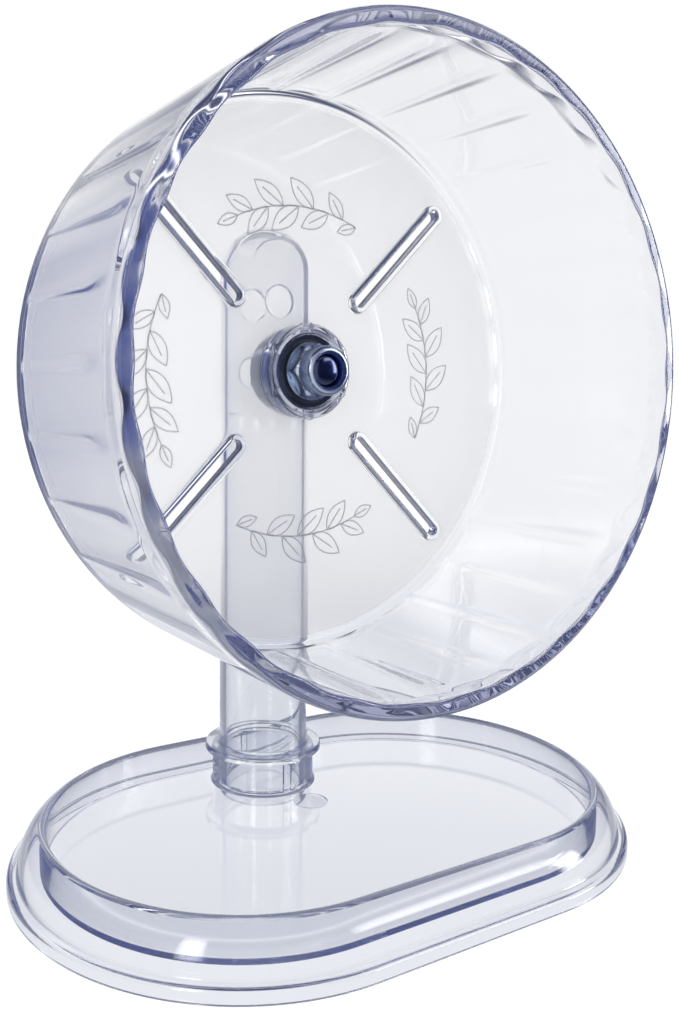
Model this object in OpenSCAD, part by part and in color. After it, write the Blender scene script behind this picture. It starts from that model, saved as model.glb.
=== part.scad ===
// Clear hamster wheel on a domed post that plugs into a stadium-shaped tray.
// Millimetres. +Z is up, the open front of the wheel faces -Y, and the origin
// is on the floor under the middle of the tray.

/* [Wheel] */
// Outer diameter of the drum
wheel_d = 210; // [190:1:215]
// Depth of the drum, from its front rim to the back of its disc
wheel_depth = 85; // [70:1:90]
// Thickness of the drum's round wall
drum_wall = 3; // [2.4:0.1:3.6]
// Thickness of the back disc
disc_t = 2.6; // [2:0.1:3]
// Radial thickness of the front rim
rim_t = 5.6; // [4.6:0.1:6.5]
// Depth of the front rim
rim_w = 8; // [6:0.5:10]
// Number of tread ridges round the inside, and of waves round the rim
ridge_count = 30; // [20:2:36]
// Number of vent slots in the disc
slot_count = 4; // [2:1:6]
// Width of a vent slot's opening
slot_w = 4.2; // [3.5:0.1:5.5]
// Radius from the axle to the inner end centre of a slot
slot_inner_r = 38; // [34:1:45]
// Radius from the axle to the outer end centre of a slot
slot_outer_r = 89; // [75:1:90]

/* [Stand] */
// Height of the axle above the floor
axle_h = 165.5; // [155:0.5:180]
// Length of the tray
base_l = 224; // [210:1:240]
// Width of the tray
base_w = 154; // [150:1:165]
// Height of the tray's rim
base_h = 16.6; // [15.6:0.1:18]
// Diameter of the post
post_d = 34.2; // [33:0.1:35]
// Height of the top of the post's dome
post_top = 222; // [218:1:235]
// Distance of the post's axis behind the middle of the tray
post_y = 46.5; // [45:0.5:48]
// Distance between the post's front and rear flats
flat_gap = 23.4; // [22:0.2:25]
// Height of the spare axle hole above the axle
hole_pitch = 27; // [24:1:30]

/* [Axle] */
// Diameter of the axle bolt
axle_d = 12; // [11.9:0.05:12]
// Width of the lock nut across its flats
nut_flats = 18; // [17:0.5:19]
// Outer diameter of a bearing
bearing_d = 28; // [27.6:0.1:28.4]
// Width of a bearing
bearing_w = 8; // [7.6:0.1:8.2]
// Number of balls in a bearing
ball_count = 8; // [7:1:9]
// Number of grip ribs round the hub ring
hub_rib_count = 6; // [4:1:8]

/* [Hidden] */
$fn = 96;

// Colours
clear_plastic = [0.80, 0.84, 0.94, 0.45];
zinc_steel = [0.62, 0.68, 0.80];
bearing_steel = [0.70, 0.71, 0.74];
seal_rubber = [0.07, 0.08, 0.10];
navy_nylon = [0.08, 0.12, 0.32];
brass_cage = [0.72, 0.60, 0.34];

// Small allowance that keeps a cut from ending on a face
eps = 1;
// Gap between a part and the socket, hole or sleeve that it slides in
slide_gap = 0.3;
thread_gap = 0.05;

// Drum, in distances along the axle: positions run towards the rear, as Y does
wheel_r = wheel_d / 2;
wheel_front = -61;
disc_back = wheel_front + wheel_depth;
disc_front = disc_back - disc_t;
drum_inner_r = wheel_r - drum_wall;
rim_inner_r = wheel_r - rim_t;
rim_round = 1.4;
back_round = 5.6;
ridge_front_r = 1.6;
ridge_back_r = 0.8;
ridge_axis_r = drum_inner_r + 0.4;
wave_r = 16;
wave_depth = 1.2;
slot_rim_w = 2.1;
slot_rim_h = 2.6;

// Hub: barrel, shoulder between the bearings, and the ring on its front
hub_front = disc_front - 9.2;
hub_lip = 1.2;
front_bearing_y = hub_front + hub_lip;
shoulder_t = 2.1;
rear_bearing_y = front_bearing_y + bearing_w + shoulder_t;
barrel_back = rear_bearing_y + bearing_w - 0.2;
barrel_front_r = bearing_d / 2 + 1.6;
barrel_back_r = bearing_d / 2 + 1.5;
shoulder_r = bearing_d / 2 - 2;
hub_ring_r = barrel_front_r + 1.7;
hub_ring_lip_r = bearing_d / 2 - 0.8;
hub_ring_l = 7.8;
hub_rib_r = 1.1;
hub_rib_out = 0.7;
hub_rib_inset = 0.6;

// Bearing: races, balls, cage and seals
race_inner_r = axle_d / 2;
race_land_r = 8.4;
race_outer_land_r = bearing_d / 2 - 2.4;
ball_r = 2.38;
ball_pitch_r = 10;
first_ball = 180 / ball_count;
ball_gap = 0.1;
cage_inner_r = 8.9;
cage_outer_r = 11.1;
cage_w = 5.8;
seal_t = 0.6;
seal_inset = 0.1;
seal_inner_r = race_land_r + 0.3;

// Axle stack, from the rear bearing to the post and from the front bearing to the nut
post_r = post_d / 2;
flat_front = post_y - flat_gap / 2;
post_wall = 2.4;
rear_stack_y = rear_bearing_y + bearing_w;
post_washer_t = 1;
post_washer_r = 12;
spacer_r = 8.2;
washer_flange_t = 0.9;
washer_flange_r = 10.6;
washer_boss_r = 8.3;
washer_front = hub_front - 0.2;
nut_h = 12;
nut_front = washer_front - nut_h;
nut_hex_h = 7.6;
nut_hex_r = nut_flats / 2 / cos(30);
nut_collar_r = nut_flats / 2 - 0.2;
nut_lip_r = 8.1;
nut_mouth_r = 6.9;
nut_bore_r = axle_d / 2;
insert_groove_r = 7.5;
insert_front = nut_front + 1.3;
insert_t = 2.4;
bolt_r = axle_d / 2 - thread_gap;
bolt_front = nut_front + 1.4;
bolt_head_r = 9;
bolt_head_t = 2.5;
bolt_head_flats = 15;
bolt_dome_r = 16;

// Post
hole_r = axle_d / 2 + 0.2;
bore_r = post_r - post_wall;
dome_z = post_top - post_r;
flat_low_z = axle_h - 16;
inner_flat = flat_gap / 2 - post_wall;

// Tray: d is the distance in from the outer edge
plate_top = 5.6;
plate_t = 2.4;
shell_t = 2.4;
end_r = base_w / 2;
straight_l = base_l - base_w;
skirt_h = 4.6;
skirt_round = 2;
step_d = 3.2;
crest_d = 12.3;
crest_round = 1.2;
shoulder_z = 4.8;
shoulder_arc_r = base_h - shoulder_z;
shoulder_arc_u = end_r - step_d - shoulder_arc_r;
inner_wall_u = end_r - crest_d;
socket_wall = 2.3;
socket_r = post_r + slide_gap + socket_wall;
socket_top = 17.9;
flange_r = 22.6;
flange_t = 2.4;
flange_low = socket_top + slide_gap;
spigot_low = plate_top + 0.6;
key_w = 2.8;
key_out = 1.2;
support_r = 16.7;
dimple_x = 4;
dimple_y = 18;
dimple_r = 6.4;
dimple_depth = 0.8;

// Turns a shape built round Z into one round the axle, with its +Z towards the rear
module on_axle() {
    translate([0, 0, axle_h])
        rotate([-90, 0, 0])
            children();
}

// Round tube between two places along the axle
module tube(inner_r, outer_r, from, to) {
    translate([0, 0, from])
        difference() {
            cylinder(r = outer_r, h = to - from);
            translate([0, 0, -eps])
                cylinder(r = inner_r, h = to - from + 2 * eps);
        }
}

// Repeats a shape evenly round Z
module around(count, first_angle = 0) {
    for (i = [0 : count - 1])
        rotate([0, 0, first_angle + i * 360 / count])
            children();
}

// Flat outline with straight sides and round ends
module stadium(half_w, straight) {
    square([straight, 2 * half_w], center = true);
    for (side = [-1, 1])
        translate([side * straight / 2, 0])
            circle(half_w);
}

// Half section of a solid of revolution with one rounded corner
module half_block(r, from, to, corner) {
    translate([0, from])
        square([r, to - from - corner]);
    translate([0, from])
        square([r - corner, to - from]);
    translate([r - corner, to - corner])
        circle(corner);
}

// Rectangle with four rounded corners, from the origin
module round_block(w, h, corner) {
    translate([corner, 0])
        square([w - 2 * corner, h]);
    translate([0, corner])
        square([w, h - 2 * corner]);
    for (x = [corner, w - corner], y = [corner, h - corner])
        translate([x, y])
            circle(corner);
}

// Drum wall and disc with the rounded back corner
module drum_shell() {
    rotate_extrude()
        difference() {
            half_block(wheel_r, wheel_front + rim_w / 2, disc_back, back_round);
            half_block(drum_inner_r, wheel_front, disc_front, back_round - drum_wall);
        }
}

// Thick front rim with a wavy inner edge
module drum_rim() {
    difference() {
        rotate_extrude()
            translate([rim_inner_r, wheel_front])
                round_block(rim_t, rim_w, rim_round);
        around(ridge_count, 180 / ridge_count)
            translate([rim_inner_r + wave_depth - wave_r, 0, wheel_front - eps])
                cylinder(r = wave_r, h = rim_w + 2 * eps);
    }
}

// Low ridges along the running surface, higher towards the front
module drum_ridges() {
    from = wheel_front + rim_w - 2 * rim_round;
    around(ridge_count)
        translate([ridge_axis_r, 0, from])
            cylinder(r1 = ridge_front_r, r2 = ridge_back_r, h = disc_front + eps - from, $fn = 24);
}

// Places a slot's outline on the disc
module slot_place() {
    around(slot_count, 45)
        translate([(slot_inner_r + slot_outer_r) / 2, 0, 0])
            children();
}

module wheel_drum() {
    slot_l = slot_outer_r - slot_inner_r;
    color(clear_plastic)
        on_axle()
            difference() {
                union() {
                    drum_shell();
                    drum_rim();
                    drum_ridges();
                    slot_place()
                        translate([0, 0, disc_front - slot_rim_h])
                            linear_extrude(slot_rim_h + disc_t / 2)
                                stadium(slot_w / 2 + slot_rim_w, slot_l);
                    translate([0, 0, front_bearing_y])
                        cylinder(r = barrel_front_r, h = disc_back - front_bearing_y);
                    translate([0, 0, disc_front])
                        cylinder(r = barrel_back_r, h = barrel_back - disc_front);
                }
                slot_place()
                    translate([0, 0, disc_front - slot_rim_h - eps])
                        linear_extrude(slot_rim_h + disc_t + 2 * eps)
                            stadium(slot_w / 2, slot_l);
                translate([0, 0, front_bearing_y - eps])
                    cylinder(r = bearing_d / 2, h = bearing_w + eps);
                translate([0, 0, rear_bearing_y])
                    cylinder(r = bearing_d / 2, h = bearing_w + eps);
                translate([0, 0, front_bearing_y])
                    cylinder(r = shoulder_r, h = rear_bearing_y - front_bearing_y + eps);
            }
}

// Ribbed cap over the front of the barrel, with a lip over the bearing's outer race
module hub_ring() {
    color(clear_plastic)
        on_axle()
            difference() {
                union() {
                    translate([0, 0, hub_front])
                        cylinder(r = hub_ring_r, h = hub_ring_l);
                    around(hub_rib_count, 30)
                        translate([hub_ring_r + hub_rib_out - hub_rib_r, 0, hub_front + hub_rib_inset])
                            cylinder(r = hub_rib_r, h = hub_ring_l - 2 * hub_rib_inset);
                }
                translate([0, 0, hub_front - eps])
                    cylinder(r = hub_ring_lip_r, h = hub_lip + 2 * eps);
                translate([0, 0, front_bearing_y])
                    cylinder(r = barrel_front_r, h = hub_ring_l);
            }
}

// Tray rim's section: u is the distance out from the tray's long centre line
module tray_rim_outer() {
    translate([end_r - 2 * step_d, 0])
        square([2 * step_d, skirt_h - skirt_round]);
    translate([end_r - 2 * step_d, 0])
        square([2 * step_d - skirt_round, skirt_h]);
    translate([end_r - skirt_round, skirt_h - skirt_round])
        circle(skirt_round);
    intersection() {
        translate([shoulder_arc_u, shoulder_z])
            circle(shoulder_arc_r);
        translate([inner_wall_u + crest_round, 0])
            square([crest_d, base_h]);
    }
    translate([inner_wall_u, plate_top - plate_t])
        square([shell_t, base_h - crest_round - 0.4 - plate_top + plate_t]);
    translate([inner_wall_u + crest_round, base_h - crest_round - 0.4])
        circle(crest_round);
}

// Hollow below the rim
module tray_rim_hollow() {
    hollow_u = inner_wall_u + shell_t;
    arc_r = shoulder_arc_r - shell_t;
    intersection() {
        translate([shoulder_arc_u, shoulder_z])
            circle(arc_r);
        translate([hollow_u, 0])
            square([crest_d, base_h]);
    }
    translate([hollow_u, -eps])
        square([shoulder_arc_u + arc_r - hollow_u, shoulder_z + eps]);
    translate([hollow_u, -eps])
        square([end_r - shell_t - hollow_u, skirt_h - shell_t + eps]);
}

module tray_rim_section() {
    difference() {
        tray_rim_outer();
        tray_rim_hollow();
    }
}

module tray_rim() {
    for (side = [0, 1])
        mirror([side, 0, 0])
            translate([straight_l / 2, 0, 0])
                rotate([0, 0, -90])
                    rotate_extrude(angle = 180)
                        tray_rim_section();
    for (side = [0, 1])
        mirror([0, side, 0])
            rotate([90, 0, 90])
                linear_extrude(straight_l, center = true)
                    tray_rim_section();
}

// Key outline across the post or its socket, front to rear
module key_bar(half_l, w, from, to) {
    translate([-w / 2, -half_l, from])
        cube([w, 2 * half_l, to - from]);
}

module base_tray() {
    color(clear_plastic)
        difference() {
            union() {
                tray_rim();
                translate([0, 0, plate_top - plate_t])
                    linear_extrude(plate_t)
                        stadium(inner_wall_u + shell_t / 2, straight_l);
                translate([0, post_y, 0])
                    tube(post_r + slide_gap, socket_r, plate_top - plate_t / 2, socket_top);
                translate([0, post_y, 0])
                    tube(support_r - post_wall, support_r, 0, plate_top - plate_t / 2);
            }
            translate([0, post_y, 0])
                intersection() {
                    key_bar(post_r + key_out + slide_gap, key_w + 2 * slide_gap, plate_top, socket_top + eps);
                    tube(0.1, post_r + key_out + slide_gap, plate_top, socket_top + eps);
                }
            translate([dimple_x, dimple_y, plate_top - dimple_depth])
                cylinder(r = dimple_r, h = dimple_depth + eps);
        }
}

// Round body with a domed top, as wide as r, with flats above flat_z
module domed_body(r, low, flat_z, half_gap) {
    translate([0, 0, low])
        cylinder(r = r, h = flat_z - low);
    intersection() {
        union() {
            translate([0, 0, flat_z])
                cylinder(r = r, h = dome_z - flat_z);
            translate([0, 0, dome_z])
                sphere(r);
        }
        translate([-r, -half_gap, flat_z])
            cube([2 * r, 2 * half_gap, post_top]);
    }
}

module post() {
    color(clear_plastic)
        translate([0, post_y, 0])
            difference() {
                union() {
                    domed_body(post_r, spigot_low, flat_low_z, flat_gap / 2);
                    translate([0, 0, flange_low])
                        cylinder(r = flange_r, h = flange_t);
                    intersection() {
                        key_bar(post_r + key_out, key_w, spigot_low, flange_low + eps);
                        translate([0, 0, spigot_low])
                            cylinder(r = post_r + key_out, h = flange_low + eps - spigot_low);
                    }
                }
                domed_body(bore_r, spigot_low - eps, flat_low_z - post_wall, inner_flat);
                for (z = [axle_h, axle_h + hole_pitch])
                    translate([0, post_r, z])
                        rotate([90, 0, 0])
                            cylinder(r = hole_r, h = 2 * post_r);
            }
}

// Bolt with a low two-flat head inside the post and a slightly domed end
module axle_bolt() {
    head_y = flat_front + post_wall;
    color(zinc_steel)
        on_axle() {
            intersection() {
                translate([0, 0, bolt_front])
                    cylinder(r = bolt_r, h = head_y - bolt_front + bolt_head_t);
                translate([0, 0, bolt_front + bolt_dome_r])
                    union() {
                        sphere(bolt_dome_r);
                        cylinder(r = bolt_dome_r, h = wheel_depth);
                    }
            }
            translate([0, 0, head_y])
                intersection() {
                    cylinder(r = bolt_head_r, h = bolt_head_t);
                    translate([-bolt_head_r, -bolt_head_flats / 2, 0])
                        cube([2 * bolt_head_r, bolt_head_flats, bolt_head_t]);
                }
        }
}

module post_washer() {
    color(zinc_steel)
        on_axle()
            tube(hole_r, post_washer_r, flat_front - post_washer_t, flat_front);
}

module rear_spacer() {
    color(bearing_steel)
        on_axle()
            tube(axle_d / 2, spacer_r, rear_stack_y, flat_front - post_washer_t);
}

module bearing_spacer() {
    color(bearing_steel)
        on_axle()
            tube(axle_d / 2, spacer_r, front_bearing_y + bearing_w, rear_bearing_y);
}

// Washer with a boss that bears only on the front bearing's inner race
module front_washer() {
    color(zinc_steel)
        on_axle() {
            difference() {
                union() {
                    translate([0, 0, washer_front])
                        cylinder(r = washer_flange_r, h = washer_flange_t);
                    translate([0, 0, washer_front])
                        cylinder(r = washer_boss_r, h = front_bearing_y - washer_front);
                }
                translate([0, 0, washer_front - eps])
                    cylinder(r = axle_d / 2, h = front_bearing_y - washer_front + 2 * eps);
            }
        }
}

// Hexagon with a rounded collar that holds the locking ring
module lock_nut() {
    hex_front = nut_front + nut_h - nut_hex_h;
    chamfer = 0.9;
    color(zinc_steel)
        on_axle()
            difference() {
                union() {
                    intersection() {
                        translate([0, 0, hex_front])
                            cylinder(r = nut_hex_r, h = nut_hex_h, $fn = 6);
                        translate([0, 0, hex_front])
                            cylinder(r1 = nut_hex_r - chamfer, r2 = nut_hex_r + nut_hex_h - chamfer, h = nut_hex_h);
                    }
                    translate([0, 0, nut_front])
                        cylinder(r1 = nut_lip_r, r2 = nut_collar_r, h = hex_front - nut_front + eps);
                }
                translate([0, 0, nut_front - eps])
                    cylinder(r = nut_bore_r, h = nut_h + 2 * eps);
                translate([0, 0, nut_front - eps])
                    cylinder(r = nut_mouth_r, h = insert_front - nut_front + eps);
                translate([0, 0, insert_front])
                    cylinder(r = insert_groove_r, h = insert_t);
            }
}

module nylon_insert() {
    color(navy_nylon)
        on_axle()
            tube(axle_d / 2, insert_groove_r, insert_front, insert_front + insert_t);
}

// Bearing pieces, each built from the bearing's front face at 0
module race_groove() {
    translate([0, 0, bearing_w / 2])
        rotate_extrude()
            translate([ball_pitch_r, 0])
                circle(ball_r + ball_gap);
}

module outer_race() {
    color(bearing_steel)
        difference() {
            tube(race_outer_land_r, bearing_d / 2, 0, bearing_w);
            race_groove();
        }
}

module inner_race() {
    color(bearing_steel)
        difference() {
            tube(race_inner_r, race_land_r, 0, bearing_w);
            race_groove();
        }
}

module ball_set() {
    color(bearing_steel)
        around(ball_count, first_ball)
            translate([ball_pitch_r, 0, bearing_w / 2])
                sphere(ball_r);
}

module ball_cage() {
    color(brass_cage)
        difference() {
            tube(cage_inner_r, cage_outer_r, (bearing_w - cage_w) / 2, (bearing_w + cage_w) / 2);
            around(ball_count, first_ball)
                translate([cage_inner_r - eps, 0, bearing_w / 2])
                    rotate([0, 90, 0])
                        cylinder(r = ball_r + ball_gap, h = cage_outer_r - cage_inner_r + 2 * eps);
        }
}

module bearing_seals() {
    color(seal_rubber)
        for (from = [seal_inset, bearing_w - seal_inset - seal_t])
            tube(seal_inner_r, race_outer_land_r, from, from + seal_t);
}

// Puts a bearing piece at a place along the axle
module bearing_at(y) {
    on_axle()
        translate([0, 0, y])
            children();
}

module front_bearing_outer_race() { bearing_at(front_bearing_y) outer_race(); }
module front_bearing_inner_race() { bearing_at(front_bearing_y) inner_race(); }
module front_bearing_balls() { bearing_at(front_bearing_y) ball_set(); }
module front_bearing_cage() { bearing_at(front_bearing_y) ball_cage(); }
module front_bearing_seals() { bearing_at(front_bearing_y) bearing_seals(); }
module rear_bearing_outer_race() { bearing_at(rear_bearing_y) outer_race(); }
module rear_bearing_inner_race() { bearing_at(rear_bearing_y) inner_race(); }
module rear_bearing_balls() { bearing_at(rear_bearing_y) ball_set(); }
module rear_bearing_cage() { bearing_at(rear_bearing_y) ball_cage(); }
module rear_bearing_seals() { bearing_at(rear_bearing_y) bearing_seals(); }

base_tray();
post();
wheel_drum();
hub_ring();
axle_bolt();
post_washer();
rear_spacer();
bearing_spacer();
front_washer();
lock_nut();
nylon_insert();
front_bearing_outer_race();
front_bearing_inner_race();
front_bearing_balls();
front_bearing_cage();
front_bearing_seals();
rear_bearing_outer_race();
rear_bearing_inner_race();
rear_bearing_balls();
rear_bearing_cage();
rear_bearing_seals();
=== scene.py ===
# Clear hamster wheel: drum, hub, post and tray dressed over the packed frame
import math
from functools import partialmethod

import bmesh
import bpy
from mathutils import Matrix
from mathutils import Vector
from mathutils.geometry import delaunay_2d_cdt


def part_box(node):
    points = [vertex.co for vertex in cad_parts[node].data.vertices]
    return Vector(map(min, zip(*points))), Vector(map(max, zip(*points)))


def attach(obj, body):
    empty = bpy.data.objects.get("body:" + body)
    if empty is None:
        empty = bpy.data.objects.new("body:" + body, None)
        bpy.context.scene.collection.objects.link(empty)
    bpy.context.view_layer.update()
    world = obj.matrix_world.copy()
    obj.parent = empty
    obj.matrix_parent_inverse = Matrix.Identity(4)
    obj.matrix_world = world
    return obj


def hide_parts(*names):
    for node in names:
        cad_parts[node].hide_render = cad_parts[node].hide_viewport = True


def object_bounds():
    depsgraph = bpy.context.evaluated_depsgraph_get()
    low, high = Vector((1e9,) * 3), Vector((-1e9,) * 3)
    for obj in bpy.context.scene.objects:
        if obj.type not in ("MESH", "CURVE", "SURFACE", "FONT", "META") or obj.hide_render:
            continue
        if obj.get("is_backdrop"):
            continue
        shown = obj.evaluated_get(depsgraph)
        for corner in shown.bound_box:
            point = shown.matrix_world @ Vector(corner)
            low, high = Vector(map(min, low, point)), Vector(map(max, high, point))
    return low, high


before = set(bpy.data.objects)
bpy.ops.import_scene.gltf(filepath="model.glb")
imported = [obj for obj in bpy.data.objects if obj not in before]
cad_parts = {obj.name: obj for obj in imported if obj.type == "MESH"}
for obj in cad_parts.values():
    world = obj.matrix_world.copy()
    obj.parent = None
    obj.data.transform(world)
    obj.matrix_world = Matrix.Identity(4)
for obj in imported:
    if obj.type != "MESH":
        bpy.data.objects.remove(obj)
CAD_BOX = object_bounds()

bl_info = {
    "name": "Clear Hamster Wheel",
    "version": (1, 0, 0),
    "blender": (4, 5, 0),
    "location": "View3D > Sidebar > Hamster Wheel",
    "description": "Moulds a clear running wheel, its post and its tray around a packed frame",
    "category": "Add Mesh",
}

MM = 0.001
# Gap that keeps a clear face from lying in the face of what it touches
AIR = 0.02 * MM
# Points closer than this become one
MERGE = 0.002 * MM
# Edges that turn more than this stay crisp
CRISP = math.radians(34)

DRUM_LOW, DRUM_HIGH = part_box("wheel_drum")
RING_LOW, RING_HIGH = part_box("hub_ring")
POST_LOW, POST_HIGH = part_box("post")
TRAY_LOW, TRAY_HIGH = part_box("base_tray")
NUT_LOW, NUT_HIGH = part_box("lock_nut")
BOLT_LOW, BOLT_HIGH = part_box("axle_bolt")
RACE_LOW, RACE_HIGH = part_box("front_bearing_outer_race")
REAR_RACE_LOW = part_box("rear_bearing_outer_race")[0]
INSERT_LOW, INSERT_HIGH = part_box("nylon_insert")


# Properties that a user would change

def size(name, description, default):
    """A length in metres."""
    return bpy.props.FloatProperty(
        name=name, description=description, default=default, unit="LENGTH", precision=5
    )


def angle(name, description, default):
    """An angle, given here in degrees."""
    return bpy.props.FloatProperty(
        name=name, description=description, default=math.radians(default), unit="ROTATION"
    )


def number(name, description, default):
    """A plain number."""
    return bpy.props.FloatProperty(name=name, description=description, default=default, precision=4)


def count(name, description, default):
    """A whole number of like shapes."""
    return bpy.props.IntProperty(name=name, description=description, default=default, min=1)


def tint(name, description, default):
    """A colour."""
    return bpy.props.FloatVectorProperty(
        name=name, description=description, default=default, subtype="COLOR", min=0, max=1
    )


class WheelSizes(bpy.types.PropertyGroup):
    """Sizes of the drum"""

    radius: size("Radius", "Outer radius of the drum", (DRUM_HIGH.z - DRUM_LOW.z) / 2)
    axle: size("Axle Height", "Height of the axle above the floor", (DRUM_HIGH.z + DRUM_LOW.z) / 2)
    front: size("Front", "Place of the front rim along the axle", DRUM_LOW.y)
    depth: size("Depth", "Front rim to the back of the disc", 85 * MM)
    wall: size("Wall", "Thickness of the round wall", 3 * MM)
    disc: size("Disc", "Thickness of the back disc", 2.6 * MM)
    back_round: size("Back Round", "Radius of the outer back corner", 2.2 * MM)
    corner_round: size("Corner Round", "Radius of the corner between wall and disc", 2 * MM)
    rim_wall: size("Rim Wall", "Radial thickness of the front rim", 5.6 * MM)
    rim_flat: size("Rim Flat", "Depth of the rim's even part", 3.5 * MM)
    rim_depth: size("Rim Depth", "Depth at which the rim has thinned to the wall", 9.1 * MM)
    rim_round: size("Rim Round", "Radius of the rim's outer corner", 2.2 * MM)
    rim_inner_round: size("Rim Inner Round", "Radius of the rim's inner corner", 1.1 * MM)
    wave: size("Rim Wave", "Depth of the waves in the rim's inner edge", 0.45 * MM)
    sway: size("Rim Sway", "How far the end of the rim's even part moves to and fro", 2.0 * MM)
    ridges: count("Ridges", "Tread ridges round the inside, and waves round the rim", 30)
    ridge_front: size("Ridge Front", "Half width of a ridge at the rim", 4.4 * MM)
    ridge_rear: size("Ridge Rear", "Half width of a ridge at the disc", 1.8 * MM)
    ridge_rise: size("Ridge Rise", "Height of a ridge at the rim", 0.65 * MM)
    ridge_ramp: size("Ridge Ramp", "Length over which a ridge rises behind the rim", 20 * MM)
    ridge_end: size("Ridge End", "Height of a ridge at the disc", 0.06 * MM)
    flute: size("Flute", "Depth of the hollow between two ridges", 0.15 * MM)
    slots: count("Slots", "Vent slots in the disc", 4)
    slot_width: size("Slot Width", "Width of a slot's opening", 4.2 * MM)
    slot_inner: size("Slot Inner", "Axle to the centre of a slot's inner end", 38 * MM)
    slot_outer: size("Slot Outer", "Axle to the centre of a slot's outer end", 89 * MM)
    slot_rim: size("Slot Rim", "Width of the raised edge round a slot", 2.1 * MM)
    slot_rise: size("Slot Rise", "Height of the raised edge above the disc", 2.6 * MM)


class HubSizes(bpy.types.PropertyGroup):
    """Sizes of the barrel, its ring and the axle's hardware"""

    bearing: size("Bearing", "Outer radius of a bearing", (RACE_HIGH.x - RACE_LOW.x) / 2)
    barrel_wall: size("Barrel Wall", "Wall of the barrel's front half", 1.6 * MM)
    barrel_rear_wall: size("Barrel Rear Wall", "Wall of the barrel's rear half", 1.5 * MM)
    shoulder: size("Shoulder", "Height of the shoulder between the bearings", 2 * MM)
    ring: size("Ring Radius", "Outer radius of the hub ring", (RING_HIGH.x - RING_LOW.x) / 2)
    ring_lip: size("Ring Lip", "Inner radius of the ring's front lip", 13.2 * MM)
    ribs: count("Ribs", "Grip ribs round the hub ring", 6)
    rib: size("Rib", "Radius of a grip rib", 1.5 * MM)
    nut_flats: size("Nut Flats", "Width of the lock nut across its flats", 18 * MM)
    nut_hexagon: size("Nut Hexagon", "Length of the nut's hexagon", 5.4 * MM)
    nut_collar: size("Nut Collar", "Radius of the nut's collar", 8.95 * MM)
    nut_mouth: size("Nut Mouth", "Radius of the mouth in the collar", 6.9 * MM)
    bolt: size("Bolt", "Radius of the axle bolt", 5.95 * MM)
    thread: size("Thread", "Pitch of the bolt's thread", 1.75 * MM)


class StandSizes(bpy.types.PropertyGroup):
    """Sizes of the post and the tray"""

    post: size("Post", "Radius of the post", 17.1 * MM)
    post_wall: size("Post Wall", "Thickness of the post's wall", 2.4 * MM)
    post_place: size(
        "Post Place", "Distance of the post behind the tray's middle", (POST_LOW.y + POST_HIGH.y) / 2
    )
    flat_gap: size("Flat Gap", "Distance between the post's two flats", 23.4 * MM)
    flat_low: size("Flat Low", "Height at which the flats start", 149.5 * MM)
    shelf: size("Shelf", "Thickness of the shelf where the flats start", 0.4 * MM)
    hole: size("Hole", "Radius of the post's cross holes", 6.2 * MM)
    hole_pitch: size("Hole Pitch", "Height of the spare holes above the axle", 27 * MM)
    flange: size("Flange", "Radius of the post's flange", (POST_HIGH.x - POST_LOW.x) / 2)
    flange_low: size("Flange Low", "Height of the flange's lower face", 18.2 * MM)
    flange_thick: size("Flange Thickness", "Thickness of the flange", 2.4 * MM)
    key_width: size("Key Width", "Width of a key below the flange", 2.8 * MM)
    key_out: size("Key Height", "Height of a key above the post", 1.2 * MM)
    socket: size("Socket", "Inner radius of the tray's socket", 17.4 * MM)
    socket_wall: size("Socket Wall", "Wall of the socket", 2.3 * MM)
    socket_top: size("Socket Top", "Height of the socket's edge", 17.9 * MM)
    support: size("Support", "Outer radius of the ring below the socket", 16.7 * MM)
    plate_top: size("Plate Top", "Height of the plate's upper face", 5.6 * MM)
    plate: size("Plate", "Thickness of the tray's plate", 1.0 * MM)
    shell: size("Shell", "Thickness of the tray's rim", 1.7 * MM)
    skirt: size("Skirt", "Height of the skirt's step", 4.6 * MM)
    step: size("Step", "Depth of the step above the skirt", 3.2 * MM)
    crest: size("Crest", "Distance of the rim's inner wall from the outer edge", 12.3 * MM)
    crest_round: size("Crest Round", "Radius of the rim's crest", 1.5 * MM)
    gate: size("Gate", "Radius of the gate mark on the plate", 6.4 * MM)
    gate_depth: size("Gate Depth", "Depth of the gate mark's near edge", 0.8 * MM)


class GarlandSizes(bpy.types.PropertyGroup):
    """Sizes of the engraved leaves on the disc"""

    stem: size("Stem Radius", "Radius of the stem's arc round the axle", 61 * MM)
    sweep: angle("Sweep", "Angle that one stem spans", 50)
    leaves: count("Leaves", "Leaves on one stem", 9)
    leaf: size("Leaf", "Length of the longest leaf", 15 * MM)
    leaf_width: size("Leaf Width", "Half width of the longest leaf's control points", 7 * MM)
    lean: angle("Lean", "Angle between a leaf and its stem", 40)
    line: size("Line", "Radius of an engraved line", 0.27 * MM)


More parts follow.
